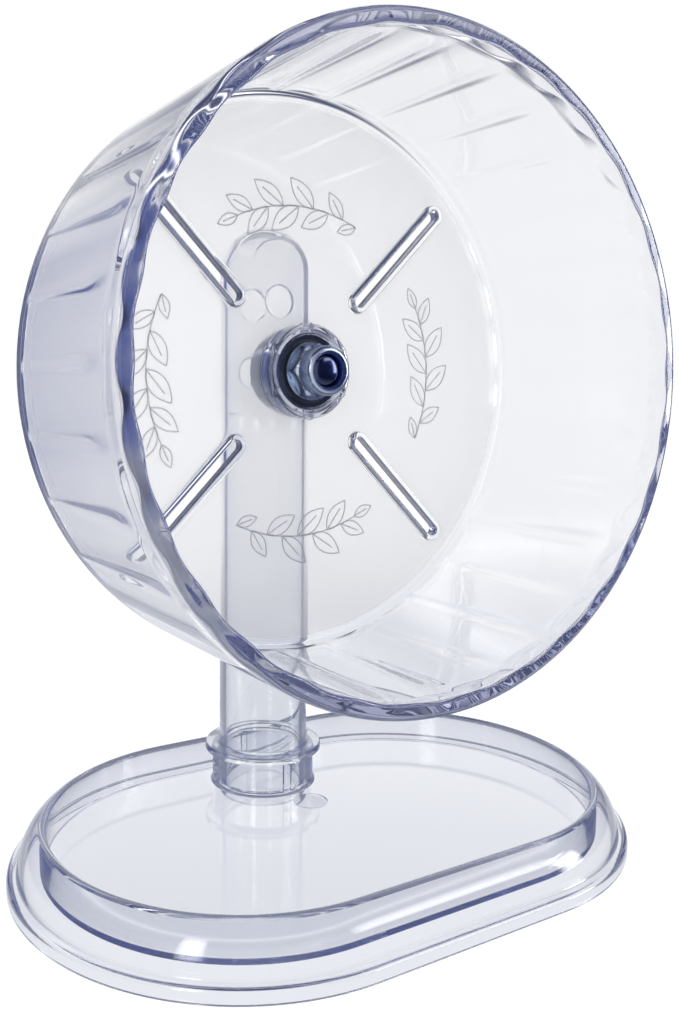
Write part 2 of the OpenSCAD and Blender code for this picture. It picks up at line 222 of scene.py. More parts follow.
class Finish(bpy.types.PropertyGroup):
    """Colours of the materials"""

    plastic: tint("Plastic", "Colour of the clear plastic's surface", (0.985, 0.987, 0.993))
    thick_plastic: tint(
        "Thick Plastic", "Colour of the post's and the hub ring's surface", (0.945, 0.95, 0.958)
    )
    depth_tint: tint("Depth Tint", "Colour that long paths in the plastic turn", (0.42, 0.44, 0.62))
    depth: number("Depth Density", "How fast the drum's plastic absorbs, per metre", 20)
    post_depth: number("Post Density", "How fast the post's plastic absorbs, per metre", 12)
    tray_depth: number("Tray Density", "How fast the tray's plastic absorbs, per metre", 24)
    frost: tint("Frost", "Colour of the disc's slightly frosted front", (1.0, 1.0, 1.0))
    frosted: number("Frosted", "Share of the disc's front that is frosted", 0.4)
    # A faint painted glow that the clear plastic gives off as emission, standing in for light inside the
    # plastic
    painted_glow: tint("Haze", "Light that a scuffed face of the plastic gives back", (0.0026, 0.0034, 0.0065))
    zinc: tint("Zinc", "Colour of the nut and washers", (0.52, 0.60, 0.75))
    steel: tint("Steel", "Colour of the bearings", (0.55, 0.57, 0.62))
    # The bolt's very dark navy is painted shade, so that its end reads dark inside the nut's mouth
    bolt: tint("Bolt", "Colour of the bolt", (0.016, 0.026, 0.10))
    # Painted shade and painted light: the front outer race is dark where it lies under the hub ring, and
    # pale behind so that the barrel reads bright
    race_shade: tint("Blued Steel", "Colour of the front outer race under the hub ring", (0.07, 0.08, 0.12))
    race: tint("Race", "Colour of that race's matt rear part", (0.80, 0.82, 0.86))
    brass: tint("Brass", "Colour of the cages", (0.60, 0.45, 0.20))
    rubber: tint("Rubber", "Colour of the seals", (0.012, 0.015, 0.022))
    nylon: tint("Nylon", "Colour of the locking ring", (0.010, 0.022, 0.13))
    engraving: tint("Engraving", "Colour of the engraved lines", (0.64, 0.65, 0.70))


class Studio(bpy.types.PropertyGroup):
    """Floor, light and camera"""

    floor: tint("Floor", "Colour of the floor", (0.45, 0.45, 0.45))
    floor_glow: number("Floor Glow", "Strength of the light that the floor gives off", 0.85)
    floor_near: tint("Floor Near", "Light of the near floor, as seen in the plastic", (0.86, 0.88, 0.92))
    floor_dark: tint("Floor Dark", "That light, mirrored inside the plastic", (0.27, 0.285, 0.34))
    floor_fade: size("Floor Fade", "Distance at which that light starts to turn into the horizon's", 0.15)
    floor_far: size("Floor Far", "Distance at which it has turned into the horizon's", 0.7)
    sky: tint("Sky", "Colour of the light from the side", (1.0, 1.0, 1.0))
    top: tint("Top", "Colour of the light from above", (0.07, 0.08, 0.15))
    top_from: number("Top From", "Sine of the height at which the side's light starts to darken", 0.34)
    top_full: number("Top Full", "Sine of the height at which it has darkened", 0.52)
    card: tint("Card", "Colour of the dark card at the left of the photograph", (0.085, 0.11, 0.29))
    card_right: tint("Right Card", "Colour of the dark card at its right", (0.06, 0.07, 0.16))
    card_behind: tint("Behind", "Colour of the studio behind the camera", (0.03, 0.034, 0.075))
    card_edge: number("Card Edge", "Squared sine of the angle at which the dark cards start", 0.22)
    card_width: number("Card Width", "Sharpness of the dark cards' edges", 5.5)
    key: number("Key", "Strength of the tall light at the right of the camera", 9)
    key_turn: angle("Key Turn", "Key light's turn from the camera's right towards its view", -6)
    key_half: angle("Key Half", "Half of the angle that the key light spans", 9)
    high: number("High", "Strength of the high light at the right of the camera", 5)
    high_turn: angle("High Turn", "High light's turn from the camera's right towards its view", -22)
    high_half: angle("High Half", "Half of the angle that the high light spans", 14)
    ring: number("Ring", "Strength of the ring light overhead", 2)
    ring_height: number("Ring Height", "Sine of the ring light's height", 0.66)
    fill: number("Fill", "Strength of the tall light at the left of the camera", 6)
    fill_turn: angle("Fill Turn", "Fill light's turn from the camera's right towards its view", 247)
    fill_half: angle("Fill Half", "Half of the angle that the fill light spans", 7)
    strength: number("Strength", "Strength of the light from all round", 1.0)
    camera: bpy.props.FloatVectorProperty(
        name="Camera",
        description="Place of the camera",
        default=(-191.4 * MM, -279.5 * MM, 157.65 * MM),
        subtype="TRANSLATION",
        unit="LENGTH",
    )
    yaw: angle("Yaw", "Camera's turn from +Y towards +X", 30.202)
    pitch: angle("Pitch", "Camera's tilt above the horizon", -1.166)
    roll: angle("Roll", "Camera's roll", 0.121)
    picture: bpy.props.IntVectorProperty(
        name="Picture", description="Width and height in pixels", default=(679, 1014), size=2
    )
    focal: number("Focal Length", "Focal length in pixels", 960.84)
    middle: bpy.props.FloatVectorProperty(
        name="Middle", description="Pixel that the camera points at", default=(259.82, 412.30), size=2
    )


# Outlines and closed shapes

def arc(centre, radius, first, last, steps):
    """Points on an arc between two angles in degrees."""
    turns = [math.radians(first + (last - first) * i / steps) for i in range(steps + 1)]
    return [(centre[0] + radius * math.cos(t), centre[1] + radius * math.sin(t)) for t in turns]


def rounded(corners, step=12):
    """Outline through corners, each (across, along, radius), with the round ones as arcs."""
    points = []
    for i, (x, y, radius) in enumerate(corners):
        here = Vector((x, y))
        if not radius:
            points.append(here)
            continue
        back = (Vector(corners[i - 1][:2]) - here).normalized()
        ahead = (Vector(corners[(i + 1) % len(corners)][:2]) - here).normalized()
        half = back.angle(ahead) / 2
        centre = here + (back + ahead).normalized() * (radius / math.sin(half))
        spoke = here + back * (radius / math.tan(half)) - centre
        turn = math.pi - 2 * half
        if back.x * ahead.y - back.y * ahead.x > 0:
            turn = -turn
        steps = max(2, math.ceil(abs(math.degrees(turn)) / step))
        points.extend(centre + Matrix.Rotation(turn * k / steps, 2) @ spoke for k in range(steps + 1))
    return points


def divided(points, longest):
    """The same outline with its long stretches cut into even parts."""
    made = [points[0]]
    for start, end in zip(points, points[1:]):
        parts = max(1, math.ceil((end - start).length / longest))
        made.extend(start.lerp(end, k / parts) for k in range(1, parts + 1))
    return made


def even_turns(steps):
    """Even angles round a full turn."""
    return [2 * math.pi * i / steps for i in range(steps)]


class Moulding:
    """One closed piece, gathered loop by loop."""

    def __init__(self, marks=()):
        self.mesh = bmesh.new()
        self.marks = {name: self.mesh.verts.layers.float.new(name) for name in marks}

    def loop(self, points, **marks):
        """Adds a ring of points, with values for the named marks."""
        made = [self.mesh.verts.new(point) for point in points]
        for name, value in marks.items():
            for vert in made:
                vert[self.marks[name]] = value
        return made

    def band(self, first, second, closed=True, smooth=True):
        """Adds faces between two rows with as many points."""
        total = len(first)
        for i in range(total if closed else total - 1):
            j = (i + 1) % total
            face = self.mesh.faces.new((first[i], first[j], second[j], second[i]))
            face.smooth = smooth

    def bands(self, rows, closed=True, looped=False):
        """Adds faces between each row and the next, and returns the first and last rows."""
        for first, second in zip(rows, rows[1:]):
            self.band(first, second, closed)
        if looped:
            self.band(rows[-1], rows[0])
        return rows[0], rows[-1]

    def flat(self, outer, holes=(), across=2):
        """Adds a flat face inside the outer loop and outside the holes; across is the axis it faces."""
        verts = []
        edges = []
        hole_of = {}
        for order, loop in enumerate((outer, *holes)):
            first = len(verts)
            total = len(loop)
            verts.extend(loop)
            edges.extend((first + i, first + (i + 1) % total) for i in range(total))
            hole_of.update({first + i: order for i in range(total)})
        axes = [axis for axis in range(3) if axis != across]
        places = [Vector((vert.co[axes[0]], vert.co[axes[1]])) for vert in verts]
        inside_only = 1
        nearest = 1e-7
        _, _, faces, sources, _, _ = delaunay_2d_cdt(places, edges, [], inside_only, nearest)
        for face in faces:
            corners = [sources[i][0] for i in face]
            owners = {hole_of[corner] for corner in corners}
            if len(owners) == 1 and owners != {0}:
                continue
            self.mesh.faces.new([verts[corner] for corner in corners]).smooth = False

    def finish(self, name):
        """Closes the seams, turns the faces outwards and returns a plain object."""
        bmesh.ops.remove_doubles(self.mesh, verts=self.mesh.verts, dist=MERGE)
        bmesh.ops.dissolve_degenerate(self.mesh, edges=self.mesh.edges, dist=MERGE / 10)
        bmesh.ops.recalc_face_normals(self.mesh, faces=self.mesh.faces)
        data = bpy.data.meshes.new(name)
        self.mesh.to_mesh(data)
        self.mesh.free()
        made = bpy.data.objects.new(name, data)
        bpy.context.scene.collection.objects.link(made)
        return made


def ring_points(radius, turns):
    """Points on a circle, or on an outline with a list that gives each turn its radius."""
    radii = radius if isinstance(radius, list) else [radius] * len(turns)
    return [(r * math.cos(t), r * math.sin(t)) for r, t in zip(radii, turns)]


def round_axle(radius, along, axle, turns):
    """A ring of points round the axle."""
    return [(x, along, axle + z) for x, z in ring_points(radius, turns)]


def round_post(radius, height, place, turns):
    """A ring of points round the post."""
    return [(x, place + y, height) for x, y in ring_points(radius, turns)]


def turned(moulding, outline, axle, turns):
    """Rings round the axle, one for each (radius, along) of an outline."""
    return [moulding.loop(round_axle(r, y, axle, turns)) for r, y in outline]


def frozen(made):
    """Turns an object's modifiers into a plain mesh and removes them."""
    graph = bpy.context.evaluated_depsgraph_get()
    data = bpy.data.meshes.new_from_object(made.evaluated_get(graph))
    made.modifiers.clear()
    made.data = data
    return made


def fused(base, *others):
    """Joins closed shapes into the base, as one skin."""
    for other in others:
        joint = base.modifiers.new("Fuse", "BOOLEAN")
        joint.operation = "UNION"
        joint.solver = "EXACT"
        joint.object = other
        frozen(base)
        bpy.data.objects.remove(other)
    return base


def dressed(made, material, body, slot, *nodes, crisp=CRISP):
    """Gives a piece its finish, its crisp edges, its body and the nodes that it stands for."""
    made.data.materials.clear()
    made.data.materials.append(material)
    made.data.set_sharp_from_angle(angle=crisp)
    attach(made, body)
    if nodes:
        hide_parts(*nodes)
    return made


# Node trees

class Wire:
    """An output socket. Python's operators on it add Math nodes."""

    def __init__(self, graph, socket):
        self.graph = graph
        self.socket = socket

    def out(self, name):
        """Another output of the same node."""
        return Wire(self.graph, self.socket.node.outputs[name])

    def math(self, operation, *others):
        """A Math node on this value and others."""
        inputs = dict(enumerate((self, *others)))
        return self.graph.node("ShaderNodeMath", {"operation": operation}, inputs)

    def swapped(self, operation, other):
        """A Math node with this value second."""
        return self.graph.node("ShaderNodeMath", {"operation": operation}, {0: other, 1: self})

    __add__ = partialmethod(math, "ADD")
    __sub__ = partialmethod(math, "SUBTRACT")
    __mul__ = partialmethod(math, "MULTIPLY")
    __truediv__ = partialmethod(math, "DIVIDE")
    __pow__ = partialmethod(math, "POWER")
    __radd__ = partialmethod(swapped, "ADD")
    __rsub__ = partialmethod(swapped, "SUBTRACT")
    __rmul__ = partialmethod(swapped, "MULTIPLY")
    __rtruediv__ = partialmethod(swapped, "DIVIDE")
    __rpow__ = partialmethod(swapped, "POWER")

    def clamped(self):
        """The value kept between 0 and 1."""
        return self.math("MAXIMUM", 0.0).math("MINIMUM", 1.0)


class Graph:
    """A node tree and the one method that adds a node to it."""

    def __init__(self, tree):
        self.tree = tree

    def node(self, kind, settings=None, inputs=None):
        """Adds a node: its settings first, then the values or links of its sockets."""
        made = self.tree.nodes.new(kind)
        for name, value in (settings or {}).items():
            if name == "stops":
                ramp = made.color_ramp
                while len(ramp.elements) < len(value):
                    ramp.elements.new(0.5)
                for element, (place, colour) in zip(ramp.elements, value):
                    element.position = place
                    element.color = (*colour, 1)
            else:
                setattr(made, name, value)
        for name, value in (inputs or {}).items():
            for single in value if isinstance(value, list) else [value]:
                if isinstance(single, Wire):
                    self.tree.links.new(single.socket, made.inputs[name])
                else:
                    made.inputs[name].default_value = single
        shown = [socket for socket in made.outputs if socket.enabled]
        return Wire(self, shown[0]) if shown else None


def apart(graph, place):
    """The three parts of a vector."""
    split = graph.node("ShaderNodeSeparateXYZ", {}, {0: place})
    return split.out("X"), split.out("Y"), split.out("Z")


def vector(graph, **parts):
    """A vector with the parts that are given as X, Y and Z."""
    return graph.node("ShaderNodeCombineXYZ", {}, parts)


def reach(first, second):
    """Length of two parts at a right angle."""
    return (first * first + second * second).math("SQRT")


def past(value, start, slope):
    """How far a value is past its start, from 0 to 1, at a slope."""
    return ((value - start) * slope).clamped()


SOCKET_KINDS = {float: "Float", int: "Int", tuple: "Vector", bpy.types.Material: "Material"}


def geometry_graph(name, values):
    """A Geometry Nodes tree with an input for each named value, as (graph, input wire)."""
    tree = bpy.data.node_groups.new(name, "GeometryNodeTree")
    kinds = {label: SOCKET_KINDS[type(value)] for label, value in values.items()}
    for label, kind in {"Geometry": "Geometry", **kinds}.items():
        tree.interface.new_socket(label, in_out="INPUT", socket_type="NodeSocket" + kind)
    tree.interface.new_socket("Geometry", in_out="OUTPUT", socket_type="NodeSocketGeometry")
    graph = Graph(tree)
    return graph, graph.node("NodeGroupInput")


def shaped(made, build, values):
    """Runs a Geometry Nodes tree on an object and keeps the result as a plain mesh."""
    tree = build(values).tree
    modifier = made.modifiers.new(tree.name, "NODES")
    modifier.node_group = tree
    for socket in tree.interface.items_tree:
        if socket.in_out == "INPUT" and socket.name in values:
            modifier[socket.identifier] = values[socket.name]
    return frozen(made)


def end_geometry(graph, geometry, given):
    """Ends a tree in realized geometry with its material set."""
    real = graph.node("GeometryNodeRealizeInstances", {}, {"Geometry": geometry})
    painted = graph.node(
        "GeometryNodeSetMaterial", {}, {"Geometry": real, "Material": given.out("Material")}
    )
    graph.node("NodeGroupOutput", {}, {"Geometry": painted})


def tread_graph(values):
    """Raises tapering ridges on the drum's inner wall and waves on its rim's inner edge."""
    graph, given = geometry_graph("Tread", values)
    x, y, height = apart(graph, graph.node("GeometryNodeInputPosition"))
    z = height - given.out("Axle Height")
    radius = reach(x, z)
    turn = z.math("ARCTAN2", x)
    ripple = 0.5 - 0.5 * (turn * given.out("Count")).math("COSINE")
    # Distance round the wall from the nearest ridge
    part = turn * given.out("Count") / (2 * math.pi)
    aside = (part - part.math("ROUND")) * given.out("Wall Radius") * (2 * math.pi) / given.out("Count")
    along = ((y - given.out("Rim")) / (given.out("Disc") - given.out("Rim"))).clamped()
    half = given.out("Ridge Front") + (given.out("Ridge Rear") - given.out("Ridge Front")) * along
    high = given.out("Ridge Rise") + (given.out("Ridge End") - given.out("Ridge Rise")) * along
    crown = (1.0 - (aside / half) ** 2.0).math("MAXIMUM", 0.0) ** 2.0
    begun = ((y - given.out("Rim")) / given.out("Ridge Ramp")).clamped()
    ramp = begun * begun * (3.0 - 2.0 * begun)
    wall = given.out("Wall Radius") - crown * high * ramp + given.out("Flute") * ripple
    marks = {
        name: graph.node("GeometryNodeInputNamedAttribute", {"data_type": "FLOAT"}, {"Name": name})
        for name in ("outer", "wave", "wall", "sway")
    }
    waved = radius + marks["wave"] * given.out("Wave") * ripple
    fluted = waved + marks["wall"] * given.out("Flute") * ripple
    scale = fluted.math("MINIMUM", wall + marks["outer"]) / radius
    moved = vector(
        graph,
        X=x * scale,
        Y=y + marks["sway"] * given.out("Sway") * (2.0 * ripple - 1.0),
        Z=z * scale + given.out("Axle Height"),
    )
    shape = graph.node(
        "GeometryNodeSetPosition", {}, {"Geometry": given.out("Geometry"), "Position": moved}
    )
    end_geometry(graph, shape, given)
    return graph


def leaf_outline(graph, length, width):
    """A pointed leaf with a midrib, lying along X from the origin."""
    belly = 0.42
    rib = 0.72
    start = (0, 0, 0)
    lines = []
    for side in (1.0, -1.0):
        lines.append(graph.node("GeometryNodeCurveQuadraticBezier", {}, {
            "Resolution": 14,
            "Start": start,
            "Middle": vector(graph, X=length * belly, Y=width * side),
            "End": vector(graph, X=length),
        }))
    lines.append(graph.node(
        "GeometryNodeCurvePrimitiveLine", {}, {"Start": start, "End": vector(graph, X=length * rib)}
    ))
    return graph.node("GeometryNodeJoinGeometry", {}, {"Geometry": lines})


def garland_graph(values):
    """Leafy stems on arcs round the axle, one between each two slots."""
    graph, given = geometry_graph("Garland", values)
    smallest = 0.58
    sweep = given.out("Sweep")
    stem = graph.node("GeometryNodeCurveArc", {"mode": "RADIUS"}, {
        "Resolution": 40,
        "Radius": given.out("Stem Radius"),
        "Start Angle": sweep * -0.5,
        "Sweep Angle": sweep,
    })
    spots = graph.node(
        "GeometryNodeCurveToPoints", {"mode": "COUNT"}, {"Curve": stem, "Count": given.out("Leaves")}
    )
    order = graph.node("GeometryNodeInputIndex")
    across, up, _ = apart(graph, graph.node("GeometryNodeInputPosition"))
    turn = up.math("ARCTAN2", across)
    side = 1.0 - 2.0 * order.math("MODULO", 2.0)
    share = (order / (given.out("Leaves") - 1.0)) * 2.0 - 1.0
    # A leaf leans to alternate sides of the stem, and the last one points along it
    last = order.math("GREATER_THAN", given.out("Leaves") - 1.5)
    heading = turn + math.pi / 2 + side * given.out("Lean") * (1.0 - last)
    scale = 1.0 - (1.0 - smallest) * share * share
    leaves = graph.node("GeometryNodeInstanceOnPoints", {}, {
        "Points": spots,
        "Instance": leaf_outline(graph, given.out("Leaf"), given.out("Leaf Width")),
        "Rotation": vector(graph, Z=heading),
        "Scale": vector(graph, X=scale, Y=scale, Z=1.0),
    })
    drawn = graph.node("GeometryNodeRealizeInstances", {}, {"Geometry": leaves})
    lines = graph.node("GeometryNodeJoinGeometry", {}, {"Geometry": [stem, drawn]})
    pen = graph.node(
        "GeometryNodeCurvePrimitiveCircle", {}, {"Resolution": 6, "Radius": given.out("Line")}
    )
    solid = graph.node(
        "GeometryNodeCurveToMesh", {}, {"Curve": lines, "Profile Curve": pen, "Fill Caps": True}
    )
    heart = graph.node("GeometryNodeMeshLine", {}, {"Count": given.out("Stems"), "Offset": (0, 0, 0)})
    step = order * (2 * math.pi) / given.out("Stems")
    around = graph.node("GeometryNodeInstanceOnPoints", {}, {
        "Points": heart,
        "Instance": solid,
        "Rotation": vector(graph, Z=step),
    })
    upright = graph.node("GeometryNodeTransform", {}, {
        "Geometry": graph.node("GeometryNodeRealizeInstances", {}, {"Geometry": around}),
        "Translation": given.out("Place"),
        "Rotation": (math.pi / 2, 0, 0),
    })
    end_geometry(graph, upright, given)
    return graph


# Materials

def new_material(name):
    """An empty material, as (material, graph, object coordinates)."""
    made = bpy.data.materials.new(name)
    made.use_nodes = True
    made.node_tree.nodes.clear()
    graph = Graph(made.node_tree)
    return made, graph, graph.node("ShaderNodeTexCoord").out("Object")


def noise(graph, place, scale, detail=2.0, stretch=None):
    """Even grey noise on object coordinates, stretched along an axis if asked."""
    if stretch:
        place = graph.node("ShaderNodeMapping", {}, {"Vector": place, "Scale": stretch})
    return graph.node("ShaderNodeTexNoise", {}, {"Vector": place, "Scale": scale, "Detail": detail})


def bump(graph, height, strength, distance):
    """A bump from a height."""
    return graph.node(
        "ShaderNodeBump", {}, {"Height": height, "Strength": strength, "Distance": distance}
    )


def blended(graph, amount, first, second):
    """One colour turning into another, each a plain colour or a wire."""
    first, second = (end if isinstance(end, Wire) else (*end, 1) for end in (first, second))
    return graph.node(
        "ShaderNodeMix", {"data_type": "RGBA"}, {"Factor": amount, 6: first, 7: second}
    )


def shades(colour, factor):
    """A lighter or darker shade of a colour."""
    return tuple(min(1.0, part * factor) for part in colour)


def principled(graph, sockets):
    """A plain surface with the sockets that are given."""
    return graph.node("ShaderNodeBsdfPrincipled", {}, sockets)


def finished(made, graph, surface, **others):
    """Ends a material in its surface."""
    graph.node("ShaderNodeOutputMaterial", {}, {"Surface": surface, **others})
    return made


def clear_plastic(name, finish, surface_tint, density, veil=None):
    """Polished clear moulding: faint flow waves, fine scuffs, a blue tint that grows with depth and a
    faint painted glow.

    A veil is a function of the graph and the place, for where a face is slightly frosted.
    """
    made, graph, place = new_material(name)
    flow = noise(graph, place, scale=26.0, detail=1.0)
    scuff = noise(graph, place, scale=900.0, detail=3.0, stretch=(1.0, 1.0, 0.12))
    surface = principled(graph, {
        "Base Color": blended(graph, flow, surface_tint, shades(surface_tint, 0.985)),
        "Roughness": 0.003 + 0.02 * past(scuff, start=0.62, slope=6.0),
        "IOR": 1.49,
        "Transmission Weight": 1.0,
        # The emission is a faint painted glow of the plastic, not light from any lamp
        "Emission Color": (*finish.painted_glow, 1),
        "Emission Strength": 1.0,
        "Normal": bump(graph, flow, strength=0.06, distance=0.5 * MM),
    })
    depth = graph.node(
        "ShaderNodeVolumeAbsorption", {}, {"Color": (*finish.depth_tint, 1), "Density": density}
    )
    if veil:
        frost = principled(graph, {"Base Color": (*finish.frost, 1), "Roughness": 0.6})
        share = veil(graph, place) * (0.9 + 0.2 * flow)
        surface = graph.node("ShaderNodeMixShader", {}, {0: share, 1: surface, 2: frost})
    return finished(made, graph, surface, Volume=depth)


def metal(name, colour, rough, streak, coat=0.0):
    """Bare or plated metal with cloudy plating, fine turning marks and worn spots."""
    made, graph, place = new_material(name)
    cloud = noise(graph, place, scale=220.0, detail=3.0)
    marks = noise(graph, place, scale=2600.0, stretch=streak)
    worn = past(cloud, start=0.56, slope=5.0)
    return finished(made, graph, principled(graph, {
        "Base Color": blended(graph, worn, shades(colour, 0.86), shades(colour, 1.25)),
        "Roughness": rough + 0.10 * marks + 0.06 * worn,
        "Metallic": 1.0,
        "Coat Weight": coat,
        "Normal": bump(graph, marks, strength=0.08, distance=0.05 * MM),
    }))


def shaded_and_lit_race(name, front, rear, edge):
    """Steel with a dark front part that is painted shade under the hub ring, and a pale matt rear part
    that is painted light, parted at a place along the axle.
    """
    made, graph, place = new_material(name)
    along = apart(graph, place)[1]
    cloud = noise(graph, place, scale=220.0, detail=3.0)
    fade = 0.2 * MM
    # Past the edge the race turns from painted shade to painted light, along a cloudy line
    behind = ((along - edge) / fade + cloud - 0.5).clamped()
    return finished(made, graph, principled(graph, {
        "Base Color": blended(graph, behind, front, rear),
        "Roughness": 0.2 + 0.4 * behind + 0.08 * cloud,
        "Metallic": 1.0 - behind,
    }))


def moulded(name, colour, rough):
    """Plain moulded rubber or nylon with a fine grain."""
    made, graph, place = new_material(name)
    grain = noise(graph, place, scale=1800.0, detail=3.0)
    patch = noise(graph, place, scale=150.0)
    return finished(made, graph, principled(graph, {
        "Base Color": blended(graph, patch, shades(colour, 0.8), shades(colour, 1.3)),
        "Roughness": rough + 0.14 * (grain - 0.5),
        "Normal": bump(graph, grain, strength=0.12, distance=0.05 * MM),
    }))


def engraving(name, colour):
    """Frosted line in the clear disc."""
    made, graph, place = new_material(name)
    grain = noise(graph, place, scale=1500.0)
    return finished(made, graph, principled(graph, {
        "Base Color": blended(graph, grain, shades(colour, 0.9), shades(colour, 1.15)),
        "Roughness": 0.45 + 0.2 * grain,
        "Alpha": 0.45 + 0.2 * grain,
    }))


# Pieces of the drum

def drum_turns(ridges):
    """Angles round the drum, close together at each ridge."""
    steps = 20
    spread = 0.55
    turns = []
    for ridge in range(ridges):
        for step in range(steps):
            part = step / steps - 0.5
            bent = spread * part + (1 - spread) * 4 * part ** 3
            turns.append((ridge + bent) * 2 * math.pi / ridges)
    return turns


def disc_faces(wheel):
    """Places of the disc's front and back along the axle."""
    back = wheel.front + wheel.depth
    return back - wheel.disc, back


def drum_outline(wheel):
    """Section of the drum from the front of the disc, round the rim, to the back of the disc."""
    disc, back = disc_faces(wheel)
    inner = wheel.radius - wheel.wall
    rim = wheel.radius - wheel.rim_wall
    rim_back = wheel.front + wheel.rim_depth
    rim_flat = wheel.front + wheel.rim_flat
    flat = inner - 5 * MM
    slope_round = 3 * MM
    return [
        (flat, disc, 0),
        (inner, disc, wheel.corner_round),
        (inner, rim_back, slope_round),
        (rim, rim_flat, slope_round),
        (rim, wheel.front, wheel.rim_inner_round),
        (wheel.radius, wheel.front, wheel.rim_round),
        (wheel.radius, back, wheel.back_round),
        (flat, back, 0),
    ]


def drum_rows(moulding, wheel):
    """Adds the drum's wall and rim, marked for the tread, and returns its first and last rings."""
    inner = wheel.radius - wheel.wall
    rim = wheel.radius - wheel.rim_wall
    face = wheel.front + wheel.rim_inner_round
    face_edge = wheel.radius - wheel.rim_round
    turns = drum_turns(wheel.ridges)
    slope = wheel.rim_depth - wheel.rim_flat
    rows = []
    outside = False
    for r, y in divided(rounded(drum_outline(wheel), step=9), longest=3 * MM):
        outside = outside or (y < face and r > face_edge - MERGE)
        marks = {"outer": 1}
        if not outside:
            limit = face_edge if y < face else inner
            wave = max(0, min(1, (limit - r) / (limit - rim)))
            # The end of the rim's even part sways, and the rim's front and the slope's foot stay in place
            along = y - wheel.front
            sway = min(along / wheel.rim_flat, (wheel.rim_depth - along) / slope)
            marks = {
                "wave": 0 if y > wheel.front + 2 * wheel.rim_depth else wave,
                "wall": 1 if abs(r - inner) < MERGE else 0,
                "sway": max(0, sway),
            }
        rows.append(moulding.loop(round_axle(r, y, wheel.axle, turns), **marks))
    return moulding.bands(rows)


def slot_ring(wheel, order, half_width, along):
    """A ring of points round one vent slot."""
    middle = (wheel.slot_outer + wheel.slot_inner) / 2
    half = (wheel.slot_outer - wheel.slot_inner) / 2
    steps = 20
    first = math.radians(45)
    outline = arc((middle + half, 0), half_width, -90, 90, steps)
    outline += arc((middle - half, 0), half_width, 90, 270, steps)
    turn = first + order * 2 * math.pi / wheel.slots
    cos = math.cos(turn)
    sin = math.sin(turn)
    return [(u * cos - v * sin, along, wheel.axle + u * sin + v * cos) for u, v in outline]


def slot_rows(moulding, wheel, order):
    """Adds a vent slot's rounded edge and wall, and returns its front and back rings."""
    disc, back = disc_faces(wheel)
    half = wheel.slot_width / 2
    edge = half + wheel.slot_rim
    margin = 1.2 * MM
    edge_round = 1.04 * MM
    outline = rounded([
        (edge + margin, disc, 0),
        (edge, disc, 0.7 * MM),
        (edge, disc - wheel.slot_rise, edge_round),
        (half, disc - wheel.slot_rise, edge_round),
        (half, back, 0.5 * MM),
        (half + margin, back, 0),
    ])
    return moulding.bands([moulding.loop(slot_ring(wheel, order, h, y)) for h, y in outline])


def barrel_outline(wheel, hub):
    """Section of the hub barrel, from the front of the disc through the bore to its back."""
    disc, back = disc_faces(wheel)
    bore = hub.bearing + AIR
    front = hub.bearing + hub.barrel_wall - AIR
    rear = hub.bearing + hub.barrel_rear_wall
    step = hub.bearing - hub.shoulder
    margin = 2.2 * MM
    return rounded([
        (front + margin, disc, 0),
        (front, disc, 0.6 * MM),
        (front, RACE_LOW.y + AIR, 0.3 * MM),
        (bore, RACE_LOW.y + AIR, 0.3 * MM),
        (bore, RACE_HIGH.y + AIR, 0.2 * MM),
        (step, RACE_HIGH.y + AIR, 0.3 * MM),
        (step, REAR_RACE_LOW.y - AIR, 0.3 * MM),
        (bore, REAR_RACE_LOW.y - AIR, 0.2 * MM),
        (bore, DRUM_HIGH.y, 0.3 * MM),
        (rear, DRUM_HIGH.y, 0.5 * MM),
        (rear, back, 0.8 * MM),
        (rear + margin, back, 0),
    ], step=30)


class AddDrum(bpy.types.Operator):
    """Moulds the drum: wall, wavy rim, tread ridges, disc, vent slots and barrel"""

    bl_idname = "hamster_wheel.add_drum"
    bl_label = "Drum"

    def execute(self, context):
        wheel = context.scene.wheel_sizes
        hub = context.scene.hub_sizes
        moulding = Moulding(("wave", "wall", "outer", "sway"))
        rim = drum_rows(moulding, wheel)
        barrel = moulding.bands(
            turned(moulding, barrel_outline(wheel, hub), wheel.axle, even_turns(96))
        )
        slots = [slot_rows(moulding, wheel, order) for order in range(wheel.slots)]
        for outer, *holes in zip(rim, barrel, *slots):
            moulding.flat(outer, holes, across=1)
        drum = moulding.finish("drum_moulding")
        finish = context.scene.finish
        face, _ = disc_faces(wheel)

        def disc_front(graph, place):
            """The share that is frosted: the disc's flat front, faded at its edge."""
            x, y, height = apart(graph, place)
            flat = (y - face).math("ABSOLUTE").math("LESS_THAN", 0.1 * MM)
            edge = wheel.radius - wheel.wall - wheel.corner_round
            fade = 2 * MM
            return flat * ((edge - reach(x, height - wheel.axle)) / fade).clamped() * finish.frosted

        plastic = clear_plastic("clear_drum_plastic", finish, finish.plastic, finish.depth, disc_front)
        shaped(drum, tread_graph, {
            "Count": float(wheel.ridges),
            "Axle Height": wheel.axle,
            "Wall Radius": wheel.radius - wheel.wall,
            "Rim": wheel.front + wheel.rim_depth,
            "Disc": face,
            "Ridge Front": wheel.ridge_front,
            "Ridge Rear": wheel.ridge_rear,
            "Ridge Rise": wheel.ridge_rise,
            "Ridge End": wheel.ridge_end,
            "Ridge Ramp": wheel.ridge_ramp,
            "Flute": wheel.flute,
            "Wave": wheel.wave,
            "Sway": wheel.sway,
            "Material": plastic,
        })
        dressed(drum, plastic, "wheel", "clear_plastic", "wheel_drum")
        return {"FINISHED"}


